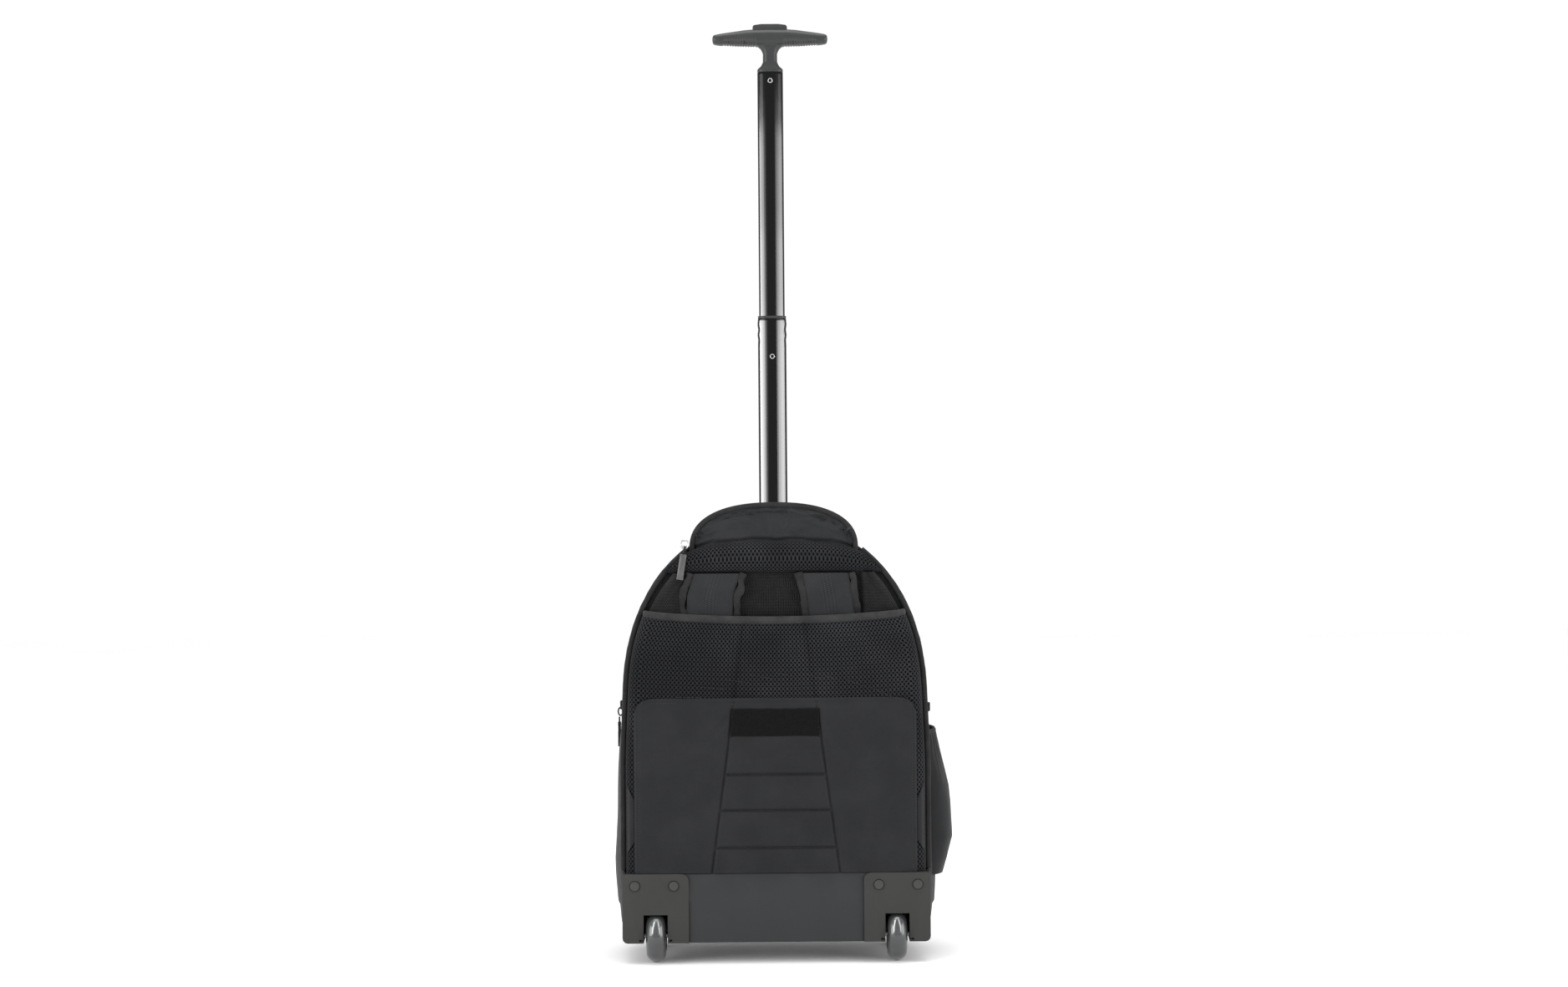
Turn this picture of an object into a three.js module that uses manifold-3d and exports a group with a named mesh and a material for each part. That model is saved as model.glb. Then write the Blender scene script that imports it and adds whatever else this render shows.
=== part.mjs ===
// A laptop backpack on wheels, standing on two wheels and two feet, with its single-pole handle drawn out.
// Millimetres. +Z is up, the back panel with the harness faces -Y, and +X is on the right of someone
// who looks at that panel. Places below are counted from the middle of the bag, the outer face of the
// plastic guard and the ground. The last lines move the whole bag over the origin.
import * as THREE from "three";
import { mergeVertices } from "three/addons/utils/BufferGeometryUtils.js";
import Module from "manifold-3d";

const wasm = await Module();
wasm.setup();

// Fit
const clearance = 0.3; // between pieces that are sewn, riveted or laid together
const overcut = 5; // how far a cutting block runs past what it cuts

// Bag body
const bagWidth = 350; // over the edge piping
const bagTop = 508; // crown of the arch, over the piping
const shoulderHeight = 300; // where the straight sides turn into the arch
const archPower = 2.15; // superellipse power of the arch
const cornerRadius = 16; // lower corners
const bodyDepth = 115; // side band, from the back seam to the front seam
const bandWall = 3; // side band
const sideSwell = 12.5; // how far the full sides swell past their seams
const crownFall = 14; // how much lower the crown is at the front
const backWallThickness = 6;
const frontWallThickness = 6;
const pipingRadius = 3;

// Front pocket
const pocketWidth = 300;
const pocketTop = 345;
const pocketShoulder = 225;
const pocketPower = 2.6;
const pocketDepth = 58;
const pocketWall = 2.5;
const pocketCorner = 34;
const pocketBaseGap = 8; // from the bag's lower edge up to the pocket's

// Bottle pocket on the right side
const bottleWidth = 90; // along the side
const bottleSetback = 10; // from the back seam
const bottleBase = 94;
const bottleHeight = 164;
const bottleReach = 23.6; // how far it stands out from the swollen side
const bottleWall = 1.8;
const bottlePower = 2.4; // superellipse power of its level sections
const bottleSides = 18;

// Back panel, from the outside in
const flapProud = 0.5; // the lumbar flap stands this far outside the guard's face
const flapThickness = 3.7;
const flapWidth = 323;
const flapTop = 303;
const flapCorner = 21;
const flapCornerSteps = 5;
const flapEdge = 1.3; // rounding of its front edge
const sleeveWall = 5;
const sleeveRounding = 14.7; // width over which its sides turn back
const sleeveTop = 406; // at its ends
const sleeveSag = 10; // how much lower its mouth is in the middle
const sleeveBindingHeight = 8;
const mouthSteps = 12; // straight spans of its sagging mouth
const sleeveBindingProud = 0.6;
const strapThickness = 8.2;
const strapPlay = 0.4; // on each face of a strap inside the sleeve
const ribbedThickness = 1.2;
const ribbedBottom = 380;
const bandBottom = 446; // air mesh band
const bandTop = 480.8; // in the middle
const bandDroop = 8.3; // how much lower its top is at its ends
const bandProud = 10.7; // in front of the back wall
const bandInset = 4;

// Shoulder straps
const strapWidth = 70;
const strapBindingWidth = 8.6;
const strapBindingThickness = 5.4;
const strapBulge = 3; // how far the straps arch out between the band and the sleeve
const strapPower = 4; // superellipse power of their sections
const strapSides = 8;

// Sewn channels of the sleeve and the flap
const seamTop = 389;
const seamSpreadTop = 35; // from the middle
const seamSlope = 0.1335;
const seamWidth = 3;
const seamDepth = 1.2;
const hookStripWidth = 101.2;
const hookStripHeight = 32.5;
const hookStripBottom = 258.5;
const hookStripThickness = 1.2;

// Strap anchor tabs beside the flap
const tabThickness = 1.5;
const tabInnerBottom = 140;
const tabInnerTop = 186;
const tabOuterBottom = 118;
const tabOuterTop = 215;

// Handle cover, the domed flap in front of the pole
const domeWidth = 194;
const domeTop = 526.6;
const domeShoulder = 474;
const domePower = 2.37;
const domeFoot = 462;
const domePipingRadius = 2.2;
const domeEdge = 1.5; // rounding of its front edge

// Handle well
const wellWidth = 176;
const wellDepth = 40.7;
const wellFloor = 455;
const wellWall = 2;

// Guard, wheel housings and feet
const guardBottom = 24;
const guardHeight = 79;
const guardThickness = 2.5;
const guardUnderDepth = 95; // lower flange under the bag
const housingInner = 100; // from the middle of the bag
const housingOuter = 176;
const housingCorner = 7.6;
const housingFoot = 6; // rounding of its lower outer corner
const housingSkirt = 3;
const skirtDepth = 27.5;
const rivetHeadRadius = 5.3;
const rivetHeadHeight = 1.2;
const rivetHeight = 89.5; // over the ground
const rivetInset = 14.4; // from the outer edge of the housing
const rivetSpacing = 44.6;
const footWidth = 22; // as the wheels in front of them, which hide them from the viewer
const footDepth = 28;
const footTaper = 3;
const footSpacing = 285;
const footSetback = 83; // from the back seam
const footPower = 6; // superellipse power of its sections
const footSides = 16;

// Wheels
const wheelRadius = 30;
const wheelWidth = 22.7;
const wheelTrack = 276;
const wheelSetback = 18; // axle, behind the guard's face
const hubRadius = 17.6;
const axleRadius = 3;
const wheelSides = 20;
const wellPlay = 2.45; // beside each wheel
const wellRoofPlay = 3.5; // over and behind each wheel
const wellPlate = 2.5;
const cutoutHeight = 32.3; // wheel opening, over the guard's lower edge
const notchWidth = 5;
const notchHeight = 2.2;
const notchLift = 2; // over the guard's lower edge

// Telescopic handle
const handleSetback = 19.7; // pole axis, behind the back seam
const tubePower = 2.8;
const tubePlay = 0.4; // between a tube and the next one
const tubeDepthPlay = 0.6; // the same, from front to back
const upperTubeWidth = 29.8;
const upperTubeDepth = 17.4;
const upperTubeLength = 342.7;
const tubeWall = 1.2;
const fixedTubeWall = 1.4;
const fixedTubePlay = 0.8;
const fixedTubeProud = 7; // over the floor of the well
const lowerTubeLength = 359;
const collarWidth = 46;
const collarDepth = 34;
const collarHeight = 7.7;
const lowerTravel = 280;
const upperTravel = 280;
const tubeRingHeight = 3;
const upperTubeProud = 2.3; // what stays out of the ring when the upper tube is pushed in
const rivetRadius = 2.8;
const rivetProud = 0.35;
const upperRivetDrop = 10.3; // below the upper tube's end
const lowerRivetDrop = 43.7;
const gripLength = 133.5;
const gripHeight = 20.3;
const gripDepth = 24;
const gripPower = 2.6; // superellipse power of its sections
const gripSides = 10;
const gripRise = 30; // from the upper tube's end to the underside of the bar
const plugLength = 20;
const neckWidth = 16.6;
const neckDepth = 14.5;
const shoulderThickness = 3;
const ridgeCount = 13;
const ridgePitch = 3;
const ridgeSlot = 1.3;
const ridgeSlotDepth = 2.4;
const ridgeStart = 17.4;
const buttonWidth = 40;
const buttonDepth = 14;
const buttonHeight = 9.7;
const buttonProud = 5.4; // over the grip's crown
const buttonTravel = 3;
const buttonFloorPlay = 1;

// Zips
const zipWidth = 26;
const zipThickness = 1.2;
const zipLeftEnd = 285;
const zipRightEnd = 280;
const sliderLength = 10;
const sliderWidth = 9;
const sliderThickness = 3;
const wireRadius = 0.9;
const ringHeight = 9;
const ringReach = 5;
const pullLength = 29;
const pullWidth = 7.5;
const pullThickness = 2;
const pullTilt = 8.8; // degrees that the top pull leans
const neckDrop = 6; // from a ring down to the tab of its pull
const sidePullThickness = 3.4; // the moulded tab of the side pull
const ringSides = 10;
const overlap = 1; // of two shapes that are joined into one
const topSliderGap = 5.6; // from the side of the handle cover
const topSliderPlace = domeWidth / 2 + topSliderGap; // from the middle of the bag
const pocketZipWidth = 13;
const pocketZipStart = 0.12; // share of the pocket's depth between the wall and its zip
const pocketZipReach = 100; // how far its ends run down below the pocket's shoulder

// Section tables, as shares of the sizes named beside them.
// Side band: shares of bodyDepth, sideSwell and crownFall, from the back seam to the front seam.
const bandRows = [
  { depth: 0, swell: 0, fall: 0 },
  { depth: 0.14, swell: 0.55, fall: 0 },
  { depth: 0.5, swell: 1, fall: 0.1 },
  { depth: 0.86, swell: 0.6, fall: 0.55 },
  { depth: 1, swell: 0, fall: 1 },
];
// How the swell changes up the sides: shares of shoulderHeight and sideSwell.
const swellRows = [
  { height: 0.1, swell: 0.7 },
  { height: 0.2, swell: 0.95 },
  { height: 0.37, swell: 1.15 },
  { height: 0.5, swell: 1 },
  { height: 0.8, swell: 0.68 },
  { height: 0.93, swell: 0.42 },
  { height: 1.08, swell: 0.1 },
];
// Front pocket: shares of pocketDepth and of pocketDepth again for how far its edge draws in.
const pocketRows = [
  { depth: 0, inset: 0 },
  { depth: 0.4, inset: 0.01 },
  { depth: 0.72, inset: 0.1 },
  { depth: 0.92, inset: 0.3 },
  { depth: 1, inset: 0.6 },
];
const pocketTopShare = 0.52; // share of its depth that is left at its top
// Bottle pocket: shares of bottleHeight and bottleReach.
const bottleRows = [
  { height: 0, reach: 0.46 },
  { height: 0.07, reach: 0.59 },
  { height: 0.13, reach: 0.72 },
  { height: 0.25, reach: 0.955 },
  { height: 0.49, reach: 0.95 },
  { height: 0.61, reach: 0.9 },
  { height: 0.73, reach: 0.74 },
  { height: 0.86, reach: 0.54 },
  { height: 1, reach: 0.4 },
];
// Sleeve edge: shares of the sleeve's depth and of sleeveRounding.
const sleeveRows = [
  { depth: 1, inset: 0 },
  { depth: 0.43, inset: 0.02 },
  { depth: 0.13, inset: 0.25 },
  { depth: 0.02, inset: 0.58 },
  { depth: 0, inset: 1 },
];
// Mesh band's section: shares of bandProud and of its height.
const bandSection = [
  { depth: 0, height: 0 },
  { depth: 0.6, height: 0.02 },
  { depth: 0.92, height: 0.2 },
  { depth: 1, height: 0.5 },
  { depth: 0.92, height: 0.8 },
  { depth: 0.6, height: 0.97 },
  { depth: 0, height: 1 },
];
// The band along its length: shares of half its length and of bandProud.
const bandLength = [
  { reach: 0, proud: 1 },
  { reach: 0.3, proud: 1 },
  { reach: 0.6, proud: 0.97 },
  { reach: 0.84, proud: 0.75 },
  { reach: 1, proud: 0.3 },
];
// Straps: height as a share of bandBottom, distance from the middle as a share of half of bagWidth, and
// share of strapBulge.
const strapRows = [
  { height: 0.9986, place: 0.36, bulge: 0 },
  { height: 0.982, place: 0.368, bulge: 0.55 },
  { height: 0.96, place: 0.38, bulge: 1 },
  { height: 0.935, place: 0.392, bulge: 0.75 },
  { height: 0.905, place: 0.403, bulge: 0 },
  { height: 0.67, place: 0.469, bulge: 0 },
  { height: 0.45, place: 0.526, bulge: 0 },
  { height: 0.314, place: 0.554, bulge: 0 },
];
const channelShares = [0.562, 0.357, 0.142]; // cross seams, as shares of the flap's height
// Grip bar: shares of half of gripLength, and of gripHeight and gripDepth.
const gripRows = [
  { reach: 0, top: 1, bottom: 0, depth: 1 },
  { reach: 0.28, top: 0.985, bottom: 0, depth: 1 },
  { reach: 0.6, top: 0.87, bottom: 0.03, depth: 0.92 },
  { reach: 0.88, top: 0.74, bottom: 0.09, depth: 0.78 },
  { reach: 0.97, top: 0.68, bottom: 0.14, depth: 0.66 },
  { reach: 1, top: 0.58, bottom: 0.24, depth: 0.42 },
];
// Grip neck: shares of gripRise above the tube, and of the way from the neck's section to the tube's.
const neckRows = [
  { rise: 0.24, spread: 0.3 },
  { rise: 0.38, spread: 0 },
  { rise: 0.74, spread: 0 },
  { rise: 0.92, spread: 0.5 },
  { rise: 1.15, spread: 1.2 },
];
// Button's crown: shares of half of buttonWidth, and of buttonHeight below its top.
const buttonRows = [
  { reach: 1, drop: 0.25 },
  { reach: 0.9, drop: 0.11 },
  { reach: 0.5, drop: 0 },
];
// Rivet head: shares of rivetHeadRadius and rivetHeadHeight.
const headRows = [
  { reach: 0, height: 0 },
  { reach: 1, height: 0 },
  { reach: 1, height: 0.45 },
  { reach: 0.72, height: 0.92 },
  { reach: 0, height: 1 },
];
// Tyre tread: shares of wheelWidth from its middle plane, and of the tyre's height over the hub.
const tyreRows = [
  { side: 0.5, height: 0 },
  { side: 0.5, height: 0.45 },
  { side: 0.42, height: 0.78 },
  { side: 0.24, height: 0.96 },
  { side: 0, height: 1 },
];

// Depths, counted from the guard's outer face.
const flapFace = -flapProud;
const sleeveFace = flapFace + flapThickness + clearance;
const strapFace = sleeveFace + sleeveWall + strapPlay;
const ribbedFace = strapFace + strapThickness + strapPlay;
const backWallFace = ribbedFace + ribbedThickness + clearance;
const pipingPlane = backWallFace + pipingRadius;
const bandFace = backWallFace + Math.max(backWallThickness, 2 * pipingRadius) + clearance;
const bandBack = bandFace + bodyDepth;
const frontWallFace = bandBack + clearance;
const frontPipingPlane = frontWallFace + pipingRadius;
const pocketFace = frontWallFace + Math.max(frontWallThickness, 2 * pipingRadius) + clearance;
const handleAxis = bandFace + handleSetback;
const zipMiddle = bandFace + bodyDepth / 2;

// Heights and widths that follow from others.
const guardTop = guardBottom + guardHeight;
const sleeveBase = guardTop + clearance;
const bagHalf = bagWidth / 2;
const bagBase = guardBottom + guardThickness + clearance - pipingRadius;
const bandBase = bagBase + pipingRadius; // underside of the side band
const panelInset = 2 * pipingRadius + clearance; // of the back and front walls, inside the piping
const leastCorner = 1;
const archSteps = 9; // points on each half of an arch
const cornerSteps = 3;
const sideSteps = 6;
const bodyForm = {
  half: bagHalf,
  base: bagBase,
  top: bagTop,
  spring: shoulderHeight,
  power: archPower,
  corner: cornerRadius,
};
const frontForm = { ...bodyForm, top: bagTop - crownFall };

// Materials
const cloth = new THREE.MeshStandardMaterial({ color: 0x2b2c2f, roughness: 0.9 });
const airMesh = new THREE.MeshStandardMaterial({ color: 0x1f2021, roughness: 0.95 });
const webbing = new THREE.MeshStandardMaterial({ color: 0x333432, roughness: 0.85 });
const hook = new THREE.MeshStandardMaterial({ color: 0x151617, roughness: 1 });
const guardPlastic = new THREE.MeshStandardMaterial({ color: 0x414548, roughness: 0.5 });
const housingPlastic = new THREE.MeshStandardMaterial({ color: 0x474744, roughness: 0.6 });
const gripPlastic = new THREE.MeshStandardMaterial({ color: 0x3a3e42, roughness: 0.4 });
const gloss = new THREE.MeshStandardMaterial({ color: 0x17181a, roughness: 0.15, metalness: 0.6 });
const rubber = new THREE.MeshStandardMaterial({ color: 0x3c4144, roughness: 0.3 });
const chrome = new THREE.MeshStandardMaterial({ color: 0xc8c8c8, roughness: 0.15, metalness: 1 });
const steel = new THREE.MeshStandardMaterial({ color: 0x85868a, roughness: 0.35, metalness: 1 });

// A closed three.js geometry as a solid that can be joined and cut. A profile or ring that runs the other
// way round gives faces that look inwards, which are turned here.
function solidOf(geometry) {
  const bare = geometry.index ? geometry.toNonIndexed() : geometry.clone();
  bare.deleteAttribute("normal");
  bare.deleteAttribute("uv");
  const merged = mergeVertices(bare, 1e-4);
  const triVerts = new Uint32Array(merged.index.array);
  const corner = (i) => new THREE.Vector3().fromBufferAttribute(merged.attributes.position, triVerts[i]);
  let volume = 0;
  for (let i = 0; i < triVerts.length; i += 3) {
    volume += corner(i).dot(corner(i + 1).cross(corner(i + 2)));
  }
  if (volume < 0) triVerts.reverse();
  return new wasm.Manifold(
    new wasm.Mesh({ numProp: 3, vertProperties: merged.attributes.position.array, triVerts }),
  );
}

// A solid's surface as a three.js geometry.
function geometryOf(solid) {
  const mesh = solid.getMesh();
  const positions = new Float32Array(mesh.numVert * 3);
  for (let i = 0; i < mesh.numVert; i++) {
    const first = i * mesh.numProp;
    positions.set(mesh.vertProperties.subarray(first, first + 3), i * 3);
  }
  return new THREE.BufferGeometry()
    .setAttribute("position", new THREE.BufferAttribute(positions, 3))
    .setIndex(new THREE.BufferAttribute(new Uint32Array(mesh.triVerts), 1));
}

// Linear value of a table's column where another column has the value asked for.
function read(rows, key, column, value) {
  const last = rows.length - 1;
  if (value <= rows[0][key]) return rows[0][column];
  if (value >= rows[last][key]) return rows[last][column];
  const i = rows.findIndex((row, n) => n < last && value <= rows[n + 1][key]);
  const share = (value - rows[i][key]) / (rows[i + 1][key] - rows[i][key]);
  return THREE.MathUtils.lerp(rows[i][column], rows[i + 1][column], share);
}

// A fan of faces from the middle of a ring that starts at the given vertex.
function fan(points, faces, ring, first, turned) {
  const middle = new THREE.Vector3();
  ring.forEach((point) => middle.addScaledVector(point, 1 / ring.length));
  points.push(middle);
  const hub = points.length - 1;
  ring.forEach((point, j) => {
    const k = first + ((j + 1) % ring.length);
    faces.push(turned ? [k, first + j, hub] : [first + j, k, hub]);
  });
}

// A solid skinned over rings with equally many points. Its end rings are closed, but a hoop's last ring
// joins its first instead.
function loft(rings, hoop = false) {
  const count = rings[0].length;
  const points = rings.flat();
  const faces = [];
  const spans = hoop ? rings.length : rings.length - 1;
  for (let i = 0; i < spans; i++) {
    const here = i * count;
    const next = ((i + 1) % rings.length) * count;
    for (let j = 0; j < count; j++) {
      const k = (j + 1) % count;
      faces.push([here + j, here + k, next + k]);
      faces.push([here + j, next + k, next + j]);
    }
  }
  if (!hoop) {
    fan(points, faces, rings[0], 0, true);
    fan(points, faces, rings.at(-1), (rings.length - 1) * count, false);
  }
  const geometry = new THREE.BufferGeometry().setFromPoints(points);
  geometry.setIndex(faces.flat());
  return solidOf(geometry);
}

// A box between two corners.
function block([x0, y0, z0], [x1, y1, z1]) {
  const box = new THREE.BoxGeometry(x1 - x0, y1 - y0, z1 - z0);
  box.translate((x0 + x1) / 2, (y0 + y1) / 2, (z0 + z1) / 2);
  return solidOf(box);
}

// A plate with an outline in X and Z, from one depth to another.
function plate(outline, front, back) {
  const shape = new THREE.Shape(outline.map(([x, z]) => new THREE.Vector2(x, z)));
  const geometry = new THREE.ExtrudeGeometry(shape, { depth: back - front, bevelEnabled: false });
  geometry.rotateX(Math.PI / 2).translate(0, back, 0);
  return solidOf(geometry);
}

// A round bar along X or Y.
function rod(axis, radius, from, to, [x, y, z], sides) {
  const bar = new THREE.CylinderGeometry(radius, radius, to - from, sides);
  if (axis === "x") {
    bar.rotateZ(Math.PI / 2).translate((from + to) / 2, y, z);
  } else {
    bar.translate(x, (from + to) / 2, z);
  }
  return solidOf(bar);
}

// Points all round a superellipse, each made by the function from its two shares of a half axis.
function oval(count, power, place) {
  return Array.from({ length: count }, (_, i) => {
    const angle = (2 * Math.PI * (i + 0.5)) / count;
    const across = Math.sign(Math.cos(angle)) * Math.abs(Math.cos(angle)) ** (2 / power);
    const along = Math.sign(Math.sin(angle)) * Math.abs(Math.sin(angle)) ** (2 / power);
    return place(across, along);
  });
}

// A level ring round an upright axis.
function levelRing(width, depth, height, [x, y], power, count) {
  const place = (across, along) =>
    new THREE.Vector3(x + (across * width) / 2, y + (along * depth) / 2, height);
  return oval(count, power, place);
}

// The bag's outline drawn in by an inset: rounded lower corners, straight sides and an arch, as points
// in X and Z from the lower right corner over the crown to the lower left one.
function archOutline(form, inset, base = form.base + inset) {
  const half = form.half - inset;
  const rise = form.top - inset - form.spring;
  const corner = Math.max(form.corner - inset, leastCorner);
  const right = [];
  for (let i = 0; i <= cornerSteps; i++) {
    const angle = (Math.PI / 2) * (i / cornerSteps - 1);
    right.push([half - corner + corner * Math.cos(angle), base + corner + corner * Math.sin(angle)]);
  }
  for (let i = 1; i < sideSteps; i++) {
    right.push([half, THREE.MathUtils.lerp(base + corner, form.spring, i / sideSteps)]);
  }
  for (let i = 0; i < archSteps; i++) {
    const angle = (Math.PI / 2) * (i / archSteps);
    const across = Math.cos(angle) ** (2 / form.power);
    right.push([half * across, form.spring + rise * Math.sin(angle) ** (2 / form.power)]);
  }
  const left = right.map(([x, z]) => [-x, z]).reverse();
  return [...right, [0, form.spring + rise], ...left];
}

// Height of an arch at a distance from its middle.
function archHeight(form, inset, across) {
  const share = Math.abs(across) / (form.half - inset);
  const rise = form.top - inset - form.spring;
  return form.spring + rise * Math.max(1 - share ** form.power, 0) ** (1 / form.power);
}

// An outline of points in X and Z as a ring at one depth.
function upright(outline, y) {
  return outline.map(([x, z]) => new THREE.Vector3(x, y, z));
}

// A flat plate with an arched outline.
function archPlate(form, inset, front, back) {
  const outline = archOutline(form, inset);
  return loft([upright(outline, front), upright(outline, back)]);
}

const pipingSides = 6;
const rivetSides = 12;

// A piping of round section along a path in X and Z.
function pipe(path, y, radius, closed = false) {
  const last = path.length - 1;
  const rings = path.map(([x, z], i) => {
    const before = path[closed ? (i + last) % path.length : Math.max(i - 1, 0)];
    const after = path[closed ? (i + 1) % path.length : Math.min(i + 1, last)];
    const run = Math.hypot(after[0] - before[0], after[1] - before[1]);
    const outX = (after[1] - before[1]) / run;
    const outZ = (before[0] - after[0]) / run;
    return oval(pipingSides, 2, (out, along) =>
      new THREE.Vector3(x + radius * out * outX, y + radius * along, z + radius * out * outZ),
    );
  });
  return loft(rings, closed);
}

// A ring of the body's skin, or of a skin inside or outside it, at one depth.
function bodyOutline(y, inset) {
  const share = (y - bandFace) / bodyDepth;
  const fall = crownFall * read(bandRows, "depth", "fall", share);
  const swell = sideSwell * read(bandRows, "depth", "swell", share);
  return archOutline({ ...bodyForm, top: bagTop - fall }, inset).map(([x, z]) => {
    const part = read(swellRows, "height", "swell", z / shoulderHeight);
    return [x * (1 + (swell * part) / bagHalf), z];
  });
}

// Depths at which the body's skin has a ring.
const bandDepths = bandRows.map((row) => bandFace + bodyDepth * row.depth);

// The body as one full solid, for trimming what lies on it or opens into it.
function bodySolid(inset) {
  return loft(bandDepths.map((y) => upright(bodyOutline(y, inset), y)));
}

// How far the swollen side stands from the middle at one depth and height.
function sideReach(y, height) {
  const share = (y - bandFace) / bodyDepth;
  const swell = sideSwell * read(bandRows, "depth", "swell", share);
  const part = read(swellRows, "height", "swell", height / shoulderHeight);
  return (bagHalf - pipingRadius) * (1 + (swell * part) / bagHalf);
}

// A V-shaped seam pressed into a face that looks towards -Y, between two points in X and Z.
function seamCut([x0, z0], [x1, z1], face) {
  const run = Math.hypot(x1 - x0, z1 - z0);
  const sideX = ((z1 - z0) / run) * (seamWidth / 2);
  const sideZ = ((x0 - x1) / run) * (seamWidth / 2);
  const section = ([x, z]) => [
    new THREE.Vector3(x + 2 * sideX, face - seamDepth, z + 2 * sideZ),
    new THREE.Vector3(x - 2 * sideX, face - seamDepth, z - 2 * sideZ),
    new THREE.Vector3(x, face + seamDepth, z),
  ];
  return loft([section([x0, z0]), section([x1, z1])]);
}

// The sleeve's two long seams spread as they go down.
function seamSpread(height) {
  return seamSpreadTop + (seamTop - height) * seamSlope;
}

// Both long seams between two heights.
function longSeams(top, bottom, face) {
  const cut = (side) =>
    seamCut([side * seamSpread(top), top], [side * seamSpread(bottom), bottom], face);
  return cut(1).add(cut(-1));
}

// Groups of pieces
const bag = new THREE.Group();
const bodyGroup = new THREE.Group();
const harnessGroup = new THREE.Group();
const baseGroup = new THREE.Group();
const handleGroup = new THREE.Group();
const zipGroup = new THREE.Group();
bag.add(bodyGroup, harnessGroup, baseGroup, handleGroup, zipGroup);

function piece(group, name, solid, material) {
  const mesh = new THREE.Mesh(geometryOf(solid), material);
  mesh.name = name;
  group.add(mesh);
}

const sides = [
  { label: "left", sign: -1 },
  { label: "right", sign: 1 },
];

// The side of the bag on the right, mirrored to the left where the sign asks for it.
function mirrored(solid, sign) {
  return sign > 0 ? solid : solid.mirror([1, 0, 0]);
}

// Wheel well: the space that one wheel housing takes in the bag's lower back edge, with a margin.
const wellHalf = wheelWidth / 2 + wellPlay + wellPlate;
const wellRoof = 2 * wheelRadius + wellRoofPlay + wellPlate;
const wellBack = wheelSetback + wheelRadius + wellRoofPlay + wellPlate;

function wheelSpace(sign, margin) {
  const middle = (sign * wheelTrack) / 2;
  return block(
    [middle - wellHalf - margin, -overcut, -overcut],
    [middle + wellHalf + margin, wellBack + margin, wellRoof + margin],
  );
}

function bothWheelSpaces(margin) {
  return wheelSpace(1, margin).add(wheelSpace(-1, margin));
}

// Space of the handle well, up through the crown.
function handleSpace(margin) {
  return block(
    [-wellWidth / 2 - margin, bandFace - overcut, wellFloor - wellWall - margin],
    [wellWidth / 2 + margin, bandFace + wellDepth + wellWall + margin, domeTop + overcut],
  );
}

// Body
function sideBand() {
  const outer = bandDepths.map((y) => upright(bodyOutline(y, pipingRadius), y));
  const inner = bandDepths.map((y) => upright(bodyOutline(y, pipingRadius + bandWall), y));
  return loft([...outer, ...inner.reverse()], true)
    .subtract(handleSpace(clearance))
    .subtract(bothWheelSpaces(clearance));
}

function backWall() {
  const dome = block(
    [-domeWidth / 2 - clearance, backWallFace - overcut, domeFoot - clearance],
    [domeWidth / 2 + clearance, bandFace, bagTop + overcut],
  );
  return archPlate(bodyForm, panelInset, backWallFace, backWallFace + backWallThickness)
    .subtract(dome)
    .subtract(bothWheelSpaces(clearance));
}

function frontWall() {
  return archPlate(frontForm, panelInset, frontWallFace, frontWallFace + frontWallThickness);
}

// The piping of the back seam starts above the guard and stops at the foot of the dome.
function backPiping() {
  const stop = domeWidth / 2 + pipingRadius + clearance;
  const start = guardTop + 4 * clearance;
  const outline = archOutline(bodyForm, pipingRadius);
  const path = outline.filter(([x, z]) => x > stop + pipingRadius && z > start + pipingRadius);
  return pipe(
    [[bagHalf - pipingRadius, start], ...path, [stop, archHeight(bodyForm, pipingRadius, stop)]],
    pipingPlane,
    pipingRadius,
  );
}

function frontPiping() {
  return pipe(archOutline(frontForm, pipingRadius), frontPipingPlane, pipingRadius, true);
}

// Front pocket: a full pouch, open towards the front wall, that thins out towards its top.
const pocketForm = {
  half: pocketWidth / 2,
  base: bagBase + pocketBaseGap,
  top: pocketTop,
  spring: pocketShoulder,
  power: pocketPower,
  corner: pocketCorner,
};

function pocketDepthAt(height) {
  const share = (height - pocketForm.base) / (pocketTop - pocketForm.base);
  return THREE.MathUtils.lerp(1, pocketTopShare, Math.max(share, 0) ** 2);
}

function pocketSolid(wall, front) {
  const rings = pocketRows.map((row) =>
    archOutline(pocketForm, wall + pocketDepth * row.inset).map(([x, z]) => {
      const reach = (pocketDepth - wall) * row.depth * pocketDepthAt(z);
      return new THREE.Vector3(x, pocketFace + reach, z);
    }),
  );
  rings[0].forEach((point) => point.setY(front));
  return loft(rings);
}

function frontPocket() {
  return pocketSolid(0, pocketFace).subtract(pocketSolid(pocketWall, pocketFace - overcut));
}

// Bottle pocket: rings at several heights, wrapped round the side and trimmed by it.
function bottleSolid(wall, floor, rows) {
  const middle = bandFace + bottleSetback + bottleWidth / 2;
  const root = bagHalf - sideSwell;
  return loft(
    rows.map((row) => {
      const height = bottleBase + Math.max(bottleHeight * row.height, floor);
      const reach = sideReach(middle, height) + bottleReach * row.reach - root;
      const place = (across, along) =>
        new THREE.Vector3(
          root + Math.max(along, 0) * (reach - wall) - Math.max(-along, 0) * wall,
          middle + across * (bottleWidth / 2 - wall),
          height,
        );
      return oval(bottleSides, bottlePower, place);
    }),
  );
}

function bottlePocket() {
  const over = { height: 1 + overcut / bottleHeight, reach: bottleRows.at(-1).reach };
  const hollowRows = [...bottleRows.slice(0, -1), over];
  return bottleSolid(0, 0, bottleRows)
    .subtract(bottleSolid(bottleWall, bottleWall, hollowRows))
    .subtract(bodySolid(pipingRadius - clearance));
}

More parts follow.
